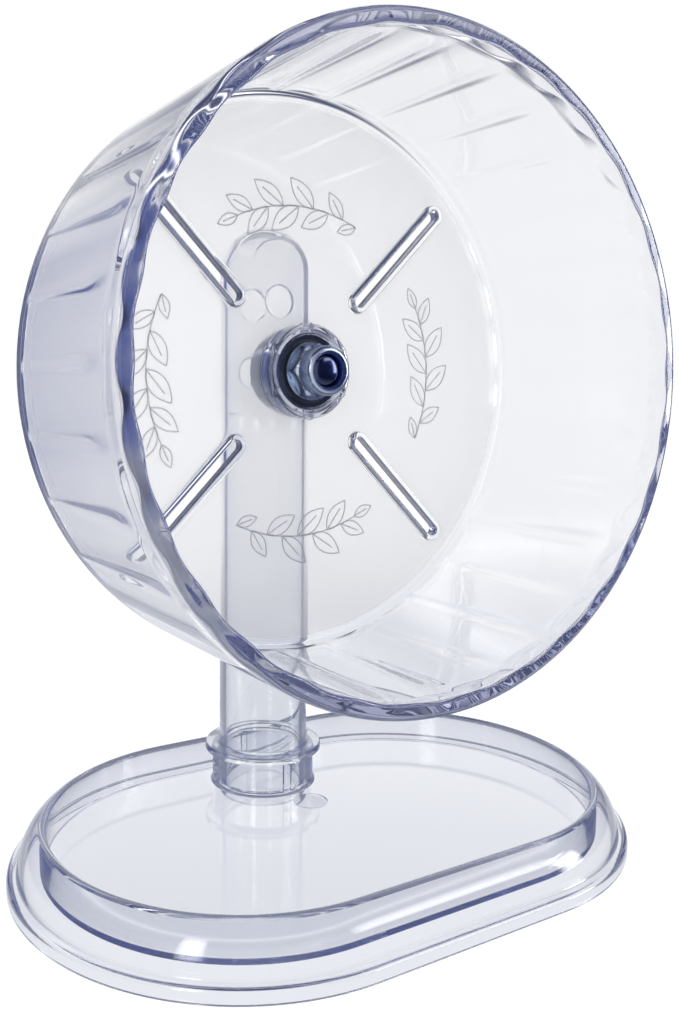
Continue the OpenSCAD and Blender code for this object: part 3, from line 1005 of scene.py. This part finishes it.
class AddGarland(bpy.types.Operator):
    """Engraves leafy stems on the disc between the vent slots"""

    bl_idname = "hamster_wheel.add_garland"
    bl_label = "Engraved Leaves"

    def execute(self, context):
        wheel = context.scene.wheel_sizes
        leaves = context.scene.garland_sizes
        finish = engraving("frosted_engraving", context.scene.finish.engraving)
        face, _ = disc_faces(wheel)
        garland = bpy.data.objects.new("disc_engraving", bpy.data.meshes.new("disc_engraving"))
        context.scene.collection.objects.link(garland)
        shaped(garland, garland_graph, {
            "Stems": wheel.slots,
            "Stem Radius": leaves.stem,
            "Sweep": leaves.sweep,
            "Leaves": leaves.leaves,
            "Leaf": leaves.leaf,
            "Leaf Width": leaves.leaf_width,
            "Lean": leaves.lean,
            "Line": leaves.line,
            "Place": (0.0, face - leaves.line - AIR, wheel.axle),
            "Material": finish,
        })
        dressed(garland, finish, "wheel", "clear_plastic")
        return {"FINISHED"}


class AddHubRing(bpy.types.Operator):
    """Moulds the clear ring with grip ribs that holds the front bearing"""

    bl_idname = "hamster_wheel.add_hub_ring"
    bl_label = "Hub Ring"

    def execute(self, context):
        wheel = context.scene.wheel_sizes
        hub = context.scene.hub_sizes
        inner = hub.bearing + hub.barrel_wall + AIR
        lip_back = RACE_LOW.y - AIR
        outline = rounded([
            (hub.ring_lip, RING_LOW.y, 0.45 * MM),
            (hub.ring, RING_LOW.y, 1.0 * MM),
            (hub.ring, RING_HIGH.y, 0.5 * MM),
            (inner, RING_HIGH.y, 0.3 * MM),
            (inner, lip_back, 0.2 * MM),
            (hub.ring_lip, lip_back, 0.25 * MM),
        ], step=18)
        top = (RING_HIGH.z - RING_LOW.z) / 2
        # The ribs stand on the ring's outer face and on this much of its rounded edges
        overlap = 0.6 * MM
        squeeze = 0.45
        turns = even_turns(180)
        moulding = Moulding()
        rows = []
        for r, y in divided([*outline, outline[0]], longest=1.2 * MM)[:-1]:
            # The ribs have a waist, and end in rounded tips just inside the ring's faces
            tip = max(0, min(1, (y - RING_LOW.y) / hub.rib, (RING_HIGH.y - y) / hub.rib))
            share = (y - RING_LOW.y) / (RING_HIGH.y - RING_LOW.y)
            waist = 1 - squeeze * math.sin(math.pi * share) ** 4
            rib = hub.rib * waist * math.sqrt(1 - (1 - tip) ** 2)
            radii = []
            for turn in turns:
                part = turn * hub.ribs / (2 * math.pi) - 0.5
                aside = (part - round(part)) * 2 * math.pi * hub.ring / hub.ribs
                rise = math.sqrt(max(0, rib ** 2 - aside ** 2)) + top - hub.rib
                ribbed = r > hub.ring - overlap and abs(aside) < rib
                radii.append(max(r, rise) if ribbed else r)
            rows.append(moulding.loop(round_axle(radii, y, wheel.axle, turns)))
        moulding.bands(rows, looped=True)
        ring = moulding.finish("hub_ring_moulding")
        finish = context.scene.finish
        plastic = clear_plastic("clear_hub_plastic", finish, finish.thick_plastic, finish.depth)
        dressed(ring, plastic, "wheel", "clear_plastic", "hub_ring")
        return {"FINISHED"}


# Pieces of the axle

def nut_radius(hub, turn):
    """Radius of the nut's hexagon at an angle, with its corners on X."""
    sixth = math.pi / 3
    return hub.nut_flats / 2 / math.cos(turn % sixth - sixth / 2)


class AddNut(bpy.types.Operator):
    """Turns the lock nut: chamfered hexagon and round collar with a rolled mouth"""

    bl_idname = "hamster_wheel.add_nut"
    bl_label = "Lock Nut"

    def execute(self, context):
        wheel = context.scene.wheel_sizes
        hub = context.scene.hub_sizes
        turns = even_turns(144)
        hexagon = NUT_HIGH.y - hub.nut_hexagon
        play = 0.05 * MM
        bore = hub.bolt + play
        groove = INSERT_HIGH.x + AIR
        roll = hub.nut_collar - hub.nut_mouth - 0.1 * MM
        moulding = Moulding()
        outline = rounded([
            (bore, INSERT_HIGH.y, 0),
            (groove, INSERT_HIGH.y, 0),
            (groove, INSERT_LOW.y - AIR, 0),
            (hub.nut_mouth, INSERT_LOW.y - AIR, 0.2 * MM),
            (hub.nut_mouth, NUT_LOW.y, 0),
            (hub.nut_collar, NUT_LOW.y, roll),
            (hub.nut_collar, hexagon - AIR, 0),
        ], step=10)
        rows = turned(moulding, outline, wheel.axle, turns)
        # Each row of the hexagon is cut by the chamfer's cone, which is blunter at the rear
        steps = 10
        blunter = 1.6
        slope = math.tan(math.radians(62))
        for step in range(steps + 1):
            y = hexagon + hub.nut_hexagon * step / steps
            near = min(y - hexagon, (NUT_HIGH.y - y) * blunter)
            cone = hub.nut_flats / 2 - play + near * slope
            radii = [min(nut_radius(hub, turn), cone) for turn in turns]
            rows.append(moulding.loop(round_axle(radii, y, wheel.axle, turns)))
        rows.append(moulding.loop(round_axle(bore, NUT_HIGH.y, wheel.axle, turns)))
        moulding.bands(rows, looped=True)
        nut = moulding.finish("lock_nut_steel")
        zinc = metal("zinc_plate", context.scene.finish.zinc, rough=0.2, streak=(1.0, 0.1, 1.0))
        dressed(nut, zinc, "post", "zinc_steel", "lock_nut", crisp=math.radians(20))
        return {"FINISHED"}


class AddBolt(bpy.types.Operator):
    """Turns the axle bolt: domed threaded end, plain shank and low head"""

    bl_idname = "hamster_wheel.add_bolt"
    bl_label = "Axle Bolt"

    def execute(self, context):
        wheel = context.scene.wheel_sizes
        hub = context.scene.hub_sizes
        turns = even_turns(96)
        head = BOLT_HIGH.y - 2.5 * MM
        head_half = (BOLT_HIGH.z - BOLT_LOW.z) / 2
        groove = 0.5 * MM
        lead_in = 0.15 * MM
        dome = 1.3 * MM
        dome_radius = hub.bolt - 0.2 * MM
        dome_steps = 7
        dome_turns = [math.radians(90 * i / dome_steps) for i in range(1, dome_steps + 1)]
        moulding = Moulding()
        rows = turned(moulding, [
            (dome_radius * math.sin(t), BOLT_LOW.y + dome * (1 - math.cos(t))) for t in dome_turns
        ], wheel.axle, turns)
        moulding.flat(rows[0], across=1)
        # The thread runs out at both ends, and its first turn is a little smaller
        start = BOLT_LOW.y + dome
        thread_end = NUT_HIGH.y
        rows_per_turn = 8
        steps = math.ceil((thread_end - start) / (hub.thread / rows_per_turn))
        for step in range(1, steps + 1):
            y = start + (thread_end - start) * step / steps
            begun = min(1, (y - start) / hub.thread)
            fade = min(begun, (thread_end - y) / hub.thread)
            radii = []
            for turn in turns:
                wave = (y / hub.thread - turn / (2 * math.pi)) % 1
                cut = groove * abs(2 * wave - 1)
                radii.append(hub.bolt - cut * fade - (1 - begun) * lead_in)
            rows.append(moulding.loop(round_axle(radii, y, wheel.axle, turns)))
        # The head has two flats, above and below
        for r, y in rounded([
            (hub.bolt, head - AIR, 0),
            (BOLT_HIGH.x, head - AIR, 0.3 * MM),
            (BOLT_HIGH.x, BOLT_HIGH.y, 0.6 * MM),
            (2 * MM, BOLT_HIGH.y, 0),
        ]):
            ring = [(x, max(-head_half, min(head_half, z))) for x, z in ring_points(r, turns)]
            rows.append(moulding.loop([(x, y, wheel.axle + z) for x, z in ring]))
        moulding.flat(rows[-1], across=1)
        moulding.bands(rows)
        bolt = moulding.finish("axle_bolt_steel")
        # A very dark navy steel: painted shade for the bolt's end in the nut's mouth
        colour = context.scene.finish.bolt
        steel = metal("bolt_steel", colour, rough=0.14, streak=(1.0, 0.2, 1.0), coat=1.0)
        dressed(bolt, steel, "post", "zinc_steel", "axle_bolt")
        return {"FINISHED"}


class FinishBearings(bpy.types.Operator):
    """Gives the bearings, spacers, washers and locking ring their metals, rubber and nylon"""

    bl_idname = "hamster_wheel.finish_bearings"
    bl_label = "Bearings and Washers"

    def execute(self, context):
        finish = context.scene.finish
        across = (1.0, 0.1, 1.0)
        zinc = metal("washer_zinc", finish.zinc, rough=0.16, streak=across)
        steel = metal("bearing_steel", finish.steel, rough=0.14, streak=across)
        brass = metal("cage_brass", finish.brass, rough=0.22, streak=across)
        rubber = moulded("seal_rubber", finish.rubber, rough=0.38)
        nylon = moulded("locking_nylon", finish.nylon, rough=0.25)
        finishes = {
            "front_washer": zinc,
            "post_washer": zinc,
            "rear_spacer": steel,
            "bearing_spacer": steel,
            "nylon_insert": nylon,
        }
        parts = {"outer_race": steel, "inner_race": steel, "balls": steel, "cage": brass, "seals": rubber}
        for end in ("front", "rear"):
            finishes.update({end + "_bearing_" + part: material for part, material in parts.items()})
        # The front outer race gets painted shade in front and painted light behind
        finishes["front_bearing_outer_race"] = shaded_and_lit_race(
            "painted_shade_race", finish.race_shade, finish.race, RING_HIGH.y
        )
        for node, material in finishes.items():
            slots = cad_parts[node].material_slots
            if not slots:
                raise RuntimeError("the node " + node + " has no material slot to finish")
            for slot in slots:
                slot.material = material
        return {"FINISHED"}


# Pieces of the stand

def post_section(edge, key_half, sides, arcs):
    """Angles round the post, each with a mark for a key's face, from the right side's front edge."""
    section = [(-edge + 2 * edge * i / sides, False) for i in range(sides + 1)]
    quarter = [edge + (math.pi / 2 - key_half - edge) * i / arcs for i in range(1, arcs + 1)]
    section += [(t, False) for t in quarter]
    section += [(math.pi / 2 + key_half * i / 2, True) for i in range(-2, 3)]
    section += [(math.pi - t, False) for t in reversed(quarter)]
    return section + [(t + math.pi, key) for t, key in section]


class PostSkin:
    """One skin of the post: a round lower part, two flats and a dome."""

    # Faces across a round side, across a quarter beside a key, up the sides and up each half of the dome
    sides = 28
    arcs = 10
    straight = 6
    bend = 8

    def __init__(self, moulding, stand, radius, gap, flat_from, key_out):
        self.moulding = moulding
        self.stand = stand
        self.radius = radius
        self.gap = gap
        self.flat_from = flat_from
        self.key_out = key_out
        self.dome = POST_HIGH.z - stand.post
        self.edge = math.asin(gap / radius)
        self.key_half = math.asin(stand.key_width / 2 / radius)

    def ring(self, radius, height, keyed):
        """A full ring round the lower part."""
        section = post_section(self.edge, self.key_half, self.sides, self.arcs)
        radii = [radius + (self.key_out if key and keyed else 0) for turn, key in section]
        turns = [turn for turn, key in section]
        return self.moulding.loop(round_post(radii, height, self.stand.post_place, turns))

    def side(self, radius, height, middle):
        """A row of points on one round side, between the two flats."""
        edge = math.asin(min(1, self.gap / radius)) if radius > self.gap else math.pi / 2
        turns = [middle - edge + 2 * edge * i / self.sides for i in range(self.sides + 1)]
        return self.moulding.loop(round_post(radius, height, self.stand.post_place, turns))

    def lower(self, outline):
        """The round part up to the flats, as rows of (radius, height, keyed)."""
        rows = [self.ring(*row) for row in outline]
        rows.append(self.ring(self.radius, self.flat_from, False))
        return self.moulding.bands(rows)

    def upper(self, last, holes):
        """The round sides, the dome and the two flats with their holes; returns the hole rings."""
        half = len(last) // 2
        rise = (self.dome - self.flat_from) / self.straight
        heights = [(self.radius, self.flat_from + rise * i) for i in range(1, self.straight + 1)]
        break_turn = math.acos(self.gap / self.radius)
        steps = [i / self.bend for i in range(1, self.bend + 1)]
        turns = [break_turn * step for step in steps]
        turns += [break_turn + (math.pi / 2 - break_turn) * step for step in steps]
        heights += [(self.radius * math.cos(t), self.dome + self.radius * math.sin(t)) for t in turns]
        flat_rows = 1 + self.straight + self.bend
        columns = []
        for start, middle in ((0, 0), (half, math.pi)):
            rows = [last[start:start + self.sides + 1]]
            rows += [self.side(r, z, middle) for r, z in heights]
            self.moulding.bands(rows, closed=False)
            columns.append(rows)
        rings = []
        for order, sign in ((0, 1), (1, -1)):
            lead = columns[order]
            follow = columns[1 - order]
            start = order * half + self.sides
            curve = [last[(start + i) % len(last)] for i in range(half - self.sides + 1)]
            y = self.stand.post_place + sign * self.gap
            first = curve[0].co.x
            step = (curve[-1].co.x - first) / (len(curve) - 1)
            chord = self.moulding.loop([(first + step * i, y, self.flat_from) for i in range(len(curve))])
            self.moulding.band(curve, chord, closed=False, smooth=False)
            up = [row[0] for row in follow[1:flat_rows]]
            down = [row[-1] for row in reversed(lead[1:flat_rows - 1])]
            made = [self.moulding.loop(hole(y)) for hole in holes]
            self.moulding.flat([*chord, *up, *down], made, across=1)
            rings.append(made)
        return rings


class AddPost(bpy.types.Operator):
    """Moulds the hollow post: keys, flange, flats, cross holes and dome"""

    bl_idname = "hamster_wheel.add_post"
    bl_label = "Post"

    def execute(self, context):
        wheel = context.scene.wheel_sizes
        stand = context.scene.stand_sizes
        moulding = Moulding()
        chamfer = 0.3 * MM
        turns = even_turns(56)
        heights = (wheel.axle, wheel.axle + stand.hole_pitch)

        def hole_ring(height, radius):
            """A function that gives a hole's ring of points at a place along the hole."""
            return lambda y: round_axle(radius, y, height, turns)

        wide = [hole_ring(height, stand.hole + chamfer) for height in heights]
        gap = stand.flat_gap / 2 - AIR
        outer = PostSkin(moulding, stand, stand.post, gap, stand.flat_low, stand.key_out)
        bore = stand.post - stand.post_wall
        gap = stand.flat_gap / 2 - stand.post_wall + AIR
        inner = PostSkin(moulding, stand, bore, gap, stand.flat_low - stand.shelf, 0)
        flange_top = stand.flange_low + stand.flange_thick
        # The last two corners only cut the long tube into shorter faces
        flange = rounded([
            (stand.post, stand.flange_low, 0),
            (stand.flange, stand.flange_low, 0.4 * MM),
            (stand.flange, flange_top, 0.6 * MM),
            (stand.post, flange_top, 0.9 * MM),
            (stand.post, flange_top + 20 * MM, 0),
            (stand.post, stand.flat_low - 10 * MM, 0),
        ])
        foot = [
            (stand.post - chamfer, POST_LOW.z, True),
            (stand.post, POST_LOW.z + chamfer, True),
            (stand.post, stand.flange_low, True),
        ]
        bottom, last = outer.lower(foot + [(r, z, False) for r, z in flange])
        outer_rings = outer.upper(last, wide)
        parts = 4
        length = inner.flat_from - POST_LOW.z
        tube = [(bore, POST_LOW.z + length * i / parts, False) for i in range(parts)]
        inner_bottom, inner_last = inner.lower(tube)
        inner_rings = inner.upper(inner_last, wide)
        moulding.flat(bottom, [inner_bottom], across=2)
        for order, sign in ((0, 1), (1, -1)):
            for place, height in enumerate(heights):
                near = stand.post_place + sign * (outer.gap - chamfer)
                far = stand.post_place + sign * (inner.gap + chamfer)
                plain = hole_ring(height, stand.hole)
                rows = [outer_rings[order][place], moulding.loop(plain(near))]
                rows += [moulding.loop(plain(far)), inner_rings[order][place]]
                moulding.bands(rows)
        post = moulding.finish("post_moulding")
        finish = context.scene.finish
        plastic = clear_plastic("clear_post_plastic", finish, finish.thick_plastic, finish.post_depth)
        dressed(post, plastic, "post", "clear_plastic", "post")
        return {"FINISHED"}


def stadium_ring(half_width, straight, height, steps=64, parts=10):
    """A ring of points on an outline with two straight sides and round ends."""
    outline = arc((straight / 2, 0), half_width, -90, 90, steps)
    outline += [(straight * (0.5 - i / parts), half_width) for i in range(1, parts)]
    outline += arc((-straight / 2, 0), half_width, 90, 270, steps)
    outline += [(straight * (i / parts - 0.5), -half_width) for i in range(1, parts)]
    return [(x, y, height) for x, y in outline]


def tray_outline(stand):
    """Section of the tray's rim from the plate's top, over the crest, to the plate's underside."""
    edge = TRAY_HIGH.y
    wall = edge - stand.crest
    step = edge - stand.step
    crest_u = wall + stand.crest_round
    crest_z = TRAY_HIGH.z - stand.crest_round
    low = stand.skirt + 0.2 * MM
    # Radius of the shoulder's arc that starts upright at the step and runs into the crest
    rise = crest_z - low
    reach = step - crest_u
    big = (rise ** 2 + reach ** 2 - stand.crest_round ** 2) / (2 * (reach - stand.crest_round))
    centre = (step - big, low)
    tilt = math.degrees(math.atan2(rise, crest_u - centre[0]))
    under = big - stand.shell
    hollow = wall + stand.shell
    under_tilt = math.degrees(math.acos((hollow - centre[0]) / under))
    foot_tilt = 4
    under_foot_tilt = 3
    over = [Vector(p) for p in arc((crest_u, crest_z), stand.crest_round, 180, tilt, steps=10)]
    over += [Vector(p) for p in arc(centre, big, tilt, foot_tilt, steps=24)]
    margin = 2 * MM
    inside = rounded([
        (wall - margin, stand.plate_top, 0),
        (wall, stand.plate_top, 0.4 * MM),
        (wall, crest_z, 0),
    ])
    skirt = rounded([
        (step, low, 0),
        (step, stand.skirt, 0.5 * MM),
        (edge, stand.skirt, 1.7 * MM),
        (edge, 0, 0.3 * MM),
        (edge - stand.shell, 0, 0.3 * MM),
        (edge - stand.shell, stand.skirt - stand.shell, 0.4 * MM),
        (step - stand.shell, stand.skirt - stand.shell, 0.6 * MM),
        (step - stand.shell, low, 0),
    ])
    below = [Vector(p) for p in arc(centre, under, under_foot_tilt, under_tilt, steps=14)]
    plate_low = stand.plate_top - stand.plate
    rest = rounded([
        (hollow, below[-1].y, 0),
        (hollow, plate_low, 0.2 * MM),
        (hollow - margin, plate_low, 0),
    ])
    return inside[:-1] + over + skirt[1:] + below + rest[1:]


class AddTray(bpy.types.Operator):
    """Moulds the tray: stepped rim, plate, keyed socket, support ring and gate mark"""

    bl_idname = "hamster_wheel.add_tray"
    bl_label = "Tray"

    def execute(self, context):
        stand = context.scene.stand_sizes
        straight = (TRAY_HIGH.x - TRAY_LOW.x) - (TRAY_HIGH.y - TRAY_LOW.y)
        moulding = Moulding()
        rows = [moulding.loop(stadium_ring(u, straight, z)) for u, z in tray_outline(stand)]
        moulding.bands(rows)
        # The gate mark's floor slopes down to its near edge, and its wall leans outwards there
        gate_x = 4 * MM
        gate_y = 18 * MM
        lean = 0.25 * MM
        edge = []
        floor = []
        for x, y in ring_points(stand.gate, even_turns(48)):
            near = 0.5 - 0.5 * y / stand.gate
            edge.append((gate_x + x, gate_y + y, stand.plate_top))
            drop = stand.gate_depth * near + AIR
            floor.append((gate_x + x, gate_y + y + lean * near, stand.plate_top - drop))
        mark = moulding.loop(edge)
        floor = moulding.loop(floor)
        moulding.band(mark, floor, smooth=False)
        moulding.flat(floor, across=2)
        moulding.flat(rows[0], [mark], across=2)
        moulding.flat(rows[-1], across=2)
        tray = moulding.finish("tray_moulding")
        fused(tray, self.socket(stand), self.support(stand))
        finish = context.scene.finish
        plastic = clear_plastic("clear_tray_plastic", finish, finish.plastic, finish.tray_depth)
        dressed(tray, plastic, "tray", "clear_plastic", "base_tray")
        return {"FINISHED"}

    def socket(self, stand):
        """The keyed socket, sunk into the plate."""
        low = stand.plate_top - stand.plate / 2
        outer = stand.socket + stand.socket_wall
        play = stand.socket - stand.post
        half = math.asin((stand.key_width / 2 + play) / stand.socket)
        section = post_section(math.radians(40), half, sides=24, arcs=10)
        fillet = 0.9 * MM
        outline = rounded([
            (stand.socket, low, 0),
            (stand.socket, stand.socket_top, 0.4 * MM),
            (outer, stand.socket_top, 0.5 * MM),
            (outer, stand.plate_top + fillet, 0.6 * MM),
            (outer + fillet, stand.plate_top - 0.1 * MM, 0),
            (outer, low, 0),
        ])
        moulding = Moulding()
        turns = [turn for turn, key in section]
        # The keyways are cut into the bore and its rounded edge
        keyway = stand.socket + 0.6 * MM
        rows = []
        for r, z in outline:
            cut = stand.key_out if r < keyway and z > stand.plate_top else 0
            radii = [r + (cut if key else 0) for turn, key in section]
            rows.append(moulding.loop(round_post(radii, z, stand.post_place, turns)))
        moulding.bands(rows, looped=True)
        return moulding.finish("socket")

    def support(self, stand):
        """The ring that carries the plate below the socket."""
        inner = stand.support - stand.post_wall
        high = stand.plate_top - stand.plate / 2
        outline = rounded([
            (inner, TRAY_LOW.z, 0.3 * MM),
            (stand.support, TRAY_LOW.z, 0.3 * MM),
            (stand.support, high, 0),
            (inner, high, 0),
        ])
        moulding = Moulding()
        turns = even_turns(96)
        rows = [moulding.loop(round_post(r, z, stand.post_place, turns)) for r, z in outline]
        moulding.bands(rows, looped=True)
        return moulding.finish("support")


# Floor, light and camera

class SetStage(bpy.types.Operator):
    """Lays the floor, sets the light and places the camera"""

    bl_idname = "hamster_wheel.set_stage"
    bl_label = "Stage"

    def execute(self, context):
        studio = context.scene.studio
        self.floor(context, studio)
        self.light(context, studio)
        self.camera(context, studio)
        context.scene.view_settings.view_transform = "Standard"
        # Rays that are mirrored many times inside the plastic still reach the studio
        bounces = 64
        context.scene.cycles.max_bounces = bounces
        context.scene.cycles.transmission_bounces = bounces
        context.scene.cycles.glossy_bounces = bounces
        return {"FINISHED"}

    def floor(self, context, studio):
        """A wide pale floor."""
        half = 4.0
        corners = [(-half, -half, 0), (half, -half, 0), (half, half, 0), (-half, half, 0)]
        moulding = Moulding()
        moulding.mesh.faces.new(moulding.loop(corners))
        floor = moulding.finish("floor")
        made, graph, place = new_material("pale_floor")
        surface = principled(graph, {
            "Base Color": (*studio.floor, 1),
            "Roughness": 0.7,
            "Specular IOR Level": 0.0,
            "Emission Color": (*studio.sky, 1),
            "Emission Strength": studio.floor_glow,
        })
        # The camera sees a plain floor, and the plastic one that turns into the studio's own horizon
        x, y, _ = apart(graph, place)
        away = reach(x, y)
        shade = self.card_shade(graph, x / away, y / away, studio.sky, studio)
        far = ((away - studio.floor_fade) / (studio.floor_far - studio.floor_fade)).clamped()
        near = blended(graph, self.inside(graph), studio.floor_near, studio.floor_dark)
        glow = blended(graph, far, near, shade)
        lamp = graph.node("ShaderNodeEmission", {}, {"Color": glow, "Strength": 1.0})
        floor.data.materials.append(finished(made, graph, self.seen_as(graph, surface, lamp)))
        floor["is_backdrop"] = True

    def seen_as(self, graph, plain, other):
        """One shader where the camera looks at it directly, and another for every other ray."""
        seen = graph.node("ShaderNodeLightPath").out("Is Camera Ray")
        return graph.node("ShaderNodeMixShader", {}, {0: seen, 1: other, 2: plain})

    def inside(self, graph):
        """1 for a ray that was mirrored inside the plastic, otherwise 0."""
        path = graph.node("ShaderNodeLightPath")
        both = path.out("Glossy Depth").math("MINIMUM", path.out("Transmission Depth"))
        return both.math("MINIMUM", 1.0)

    def card_shade(self, graph, x, y, colour, studio):
        """A colour of the studio, darkened where a mirrored ray meets its cards or what is behind."""
        across = x * math.cos(studio.yaw) - y * math.sin(studio.yaw)
        ahead = x * math.sin(studio.yaw) + y * math.cos(studio.yaw)
        mirrored = graph.node("ShaderNodeLightPath").out("Glossy Depth").math("MINIMUM", 1.0)
        sides = past(across * across, studio.card_edge, studio.card_width)
        sharpness = 4.0
        most = 0.9
        behind = (0.5 - ahead * sharpness).clamped() * self.inside(graph)
        card = sides.math("MAXIMUM", behind * most) * mirrored
        side = blended(graph, across.math("GREATER_THAN", 0.0), studio.card, studio.card_right)
        return blended(graph, card, colour, blended(graph, behind, side, studio.card_behind))

    def light(self, context, studio):
        """White light from all round that darkens overhead, with three soft lights and a ring light."""
        world = bpy.data.worlds.new("Studio")
        world.use_nodes = True
        world.node_tree.nodes.clear()
        graph = Graph(world.node_tree)
        x, y, height = apart(graph, graph.node("ShaderNodeTexCoord"))
        colour = graph.node("ShaderNodeValToRGB", {"stops": [
            (0.0, studio.sky),
            (studio.top_from, studio.sky),
            (studio.top_full, studio.top),
            (1.0, studio.top),
        ]}, {"Fac": height})
        shade = self.card_shade(graph, x, y, colour, studio)
        # Each soft light spans an angle round its turn, between two heights given as sines
        level = (1.0 - height * height).math("MAXIMUM", 0.0001).math("SQRT")
        soft = 0.9
        low_slope = 16.0
        high_slope = 8.0
        power = 1.0
        for light, turn, half, low, high in (
            (studio.key, studio.key_turn, studio.key_half, -1.0, 0.28),
            (studio.high, studio.high_turn, studio.high_half, 0.30, 0.42),
            (studio.fill, studio.fill_turn, studio.fill_half, -1.0, 0.55),
        ):
            bearing = turn - studio.yaw
            toward = (x * math.cos(bearing) + y * math.sin(bearing)) / level
            lit = ((toward - math.cos(half)) / (soft * (1 - math.cos(half)))).clamped()
            above = past(height, low, low_slope)
            below = 1.0 - past(height, high, high_slope)
            power = power + lit * above * below * (light - 1.0)
        ring_slope = 12.0
        ring = (1.0 - ((height - studio.ring_height) * ring_slope).math("ABSOLUTE")).clamped()
        power = power + ring * (studio.ring - 1.0)
        shade = blended(graph, (power - 1.0).clamped(), shade, studio.sky)
        sky = graph.node(
            "ShaderNodeBackground", {}, {"Color": shade, "Strength": power * studio.strength}
        )
        plain = graph.node("ShaderNodeBackground", {}, {"Color": (*studio.sky, 1), "Strength": 1.0})
        graph.node("ShaderNodeOutputWorld", {}, {"Surface": self.seen_as(graph, plain, sky)})
        context.scene.world = world

    def camera(self, context, studio):
        """The camera at the photograph's place."""
        width, height = studio.picture
        data = bpy.data.cameras.new("camera")
        data.sensor_fit = "AUTO"
        data.lens = studio.focal * data.sensor_width / height
        data.shift_x = (width / 2 - studio.middle[0]) / height
        data.shift_y = (studio.middle[1] - height / 2) / height
        data.clip_start = 0.01
        camera = bpy.data.objects.new("camera", data)
        context.scene.collection.objects.link(camera)
        turn = Matrix.Rotation(-studio.yaw, 4, "Z")
        tilt = Matrix.Rotation(math.pi / 2 + studio.pitch, 4, "X")
        roll = Matrix.Rotation(studio.roll, 4, "Z")
        camera.matrix_world = Matrix.Translation(studio.camera) @ turn @ tilt @ roll
        context.scene.camera = camera


PIECES = (SetStage, AddDrum, AddGarland, AddHubRing, AddNut, AddBolt, FinishBearings, AddPost, AddTray)
GROUPS = {
    "wheel_sizes": WheelSizes,
    "hub_sizes": HubSizes,
    "stand_sizes": StandSizes,
    "garland_sizes": GarlandSizes,
    "finish": Finish,
    "studio": Studio,
}


class WheelPanel(bpy.types.Panel):
    """Lists the stage and the pieces in the order they are made, then their sizes and colours"""

    bl_idname = "VIEW3D_PT_hamster_wheel"
    bl_label = "Hamster Wheel"
    bl_space_type = "VIEW_3D"
    bl_region_type = "UI"
    bl_category = "Hamster Wheel"

    def draw(self, context):
        for piece in PIECES:
            self.layout.operator(piece.bl_idname)
        for name, group in GROUPS.items():
            box = self.layout.box()
            box.label(text=group.__doc__)
            for field in group.__annotations__:
                box.prop(getattr(context.scene, name), field)


def register():
    """Registers the groups, the operators and the panel."""
    for group in GROUPS.values():
        bpy.utils.register_class(group)
    for name, group in GROUPS.items():
        setattr(bpy.types.Scene, name, bpy.props.PointerProperty(type=group))
    for piece in (*PIECES, WheelPanel):
        bpy.utils.register_class(piece)


def unregister():
    """Takes them away again."""
    for piece in reversed((*PIECES, WheelPanel)):
        bpy.utils.unregister_class(piece)
    for name, group in GROUPS.items():
        delattr(bpy.types.Scene, name)
        bpy.utils.unregister_class(group)


def main():
    """Makes every piece and works out the boxes of the solids and of the visual model."""
    register()
    bpy.ops.hamster_wheel.set_stage()
    bpy.ops.hamster_wheel.add_drum()
    bpy.ops.hamster_wheel.add_garland()
    bpy.ops.hamster_wheel.add_hub_ring()
    bpy.ops.hamster_wheel.add_nut()
    bpy.ops.hamster_wheel.add_bolt()
    bpy.ops.hamster_wheel.finish_bearings()
    bpy.ops.hamster_wheel.add_post()
    bpy.ops.hamster_wheel.add_tray()
    boxes = {"cad": CAD_BOX, "visual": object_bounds()}
    boxes = {name: [list(corner) for corner in box] for name, box in boxes.items()}


if __name__ == "__main__":
    main()
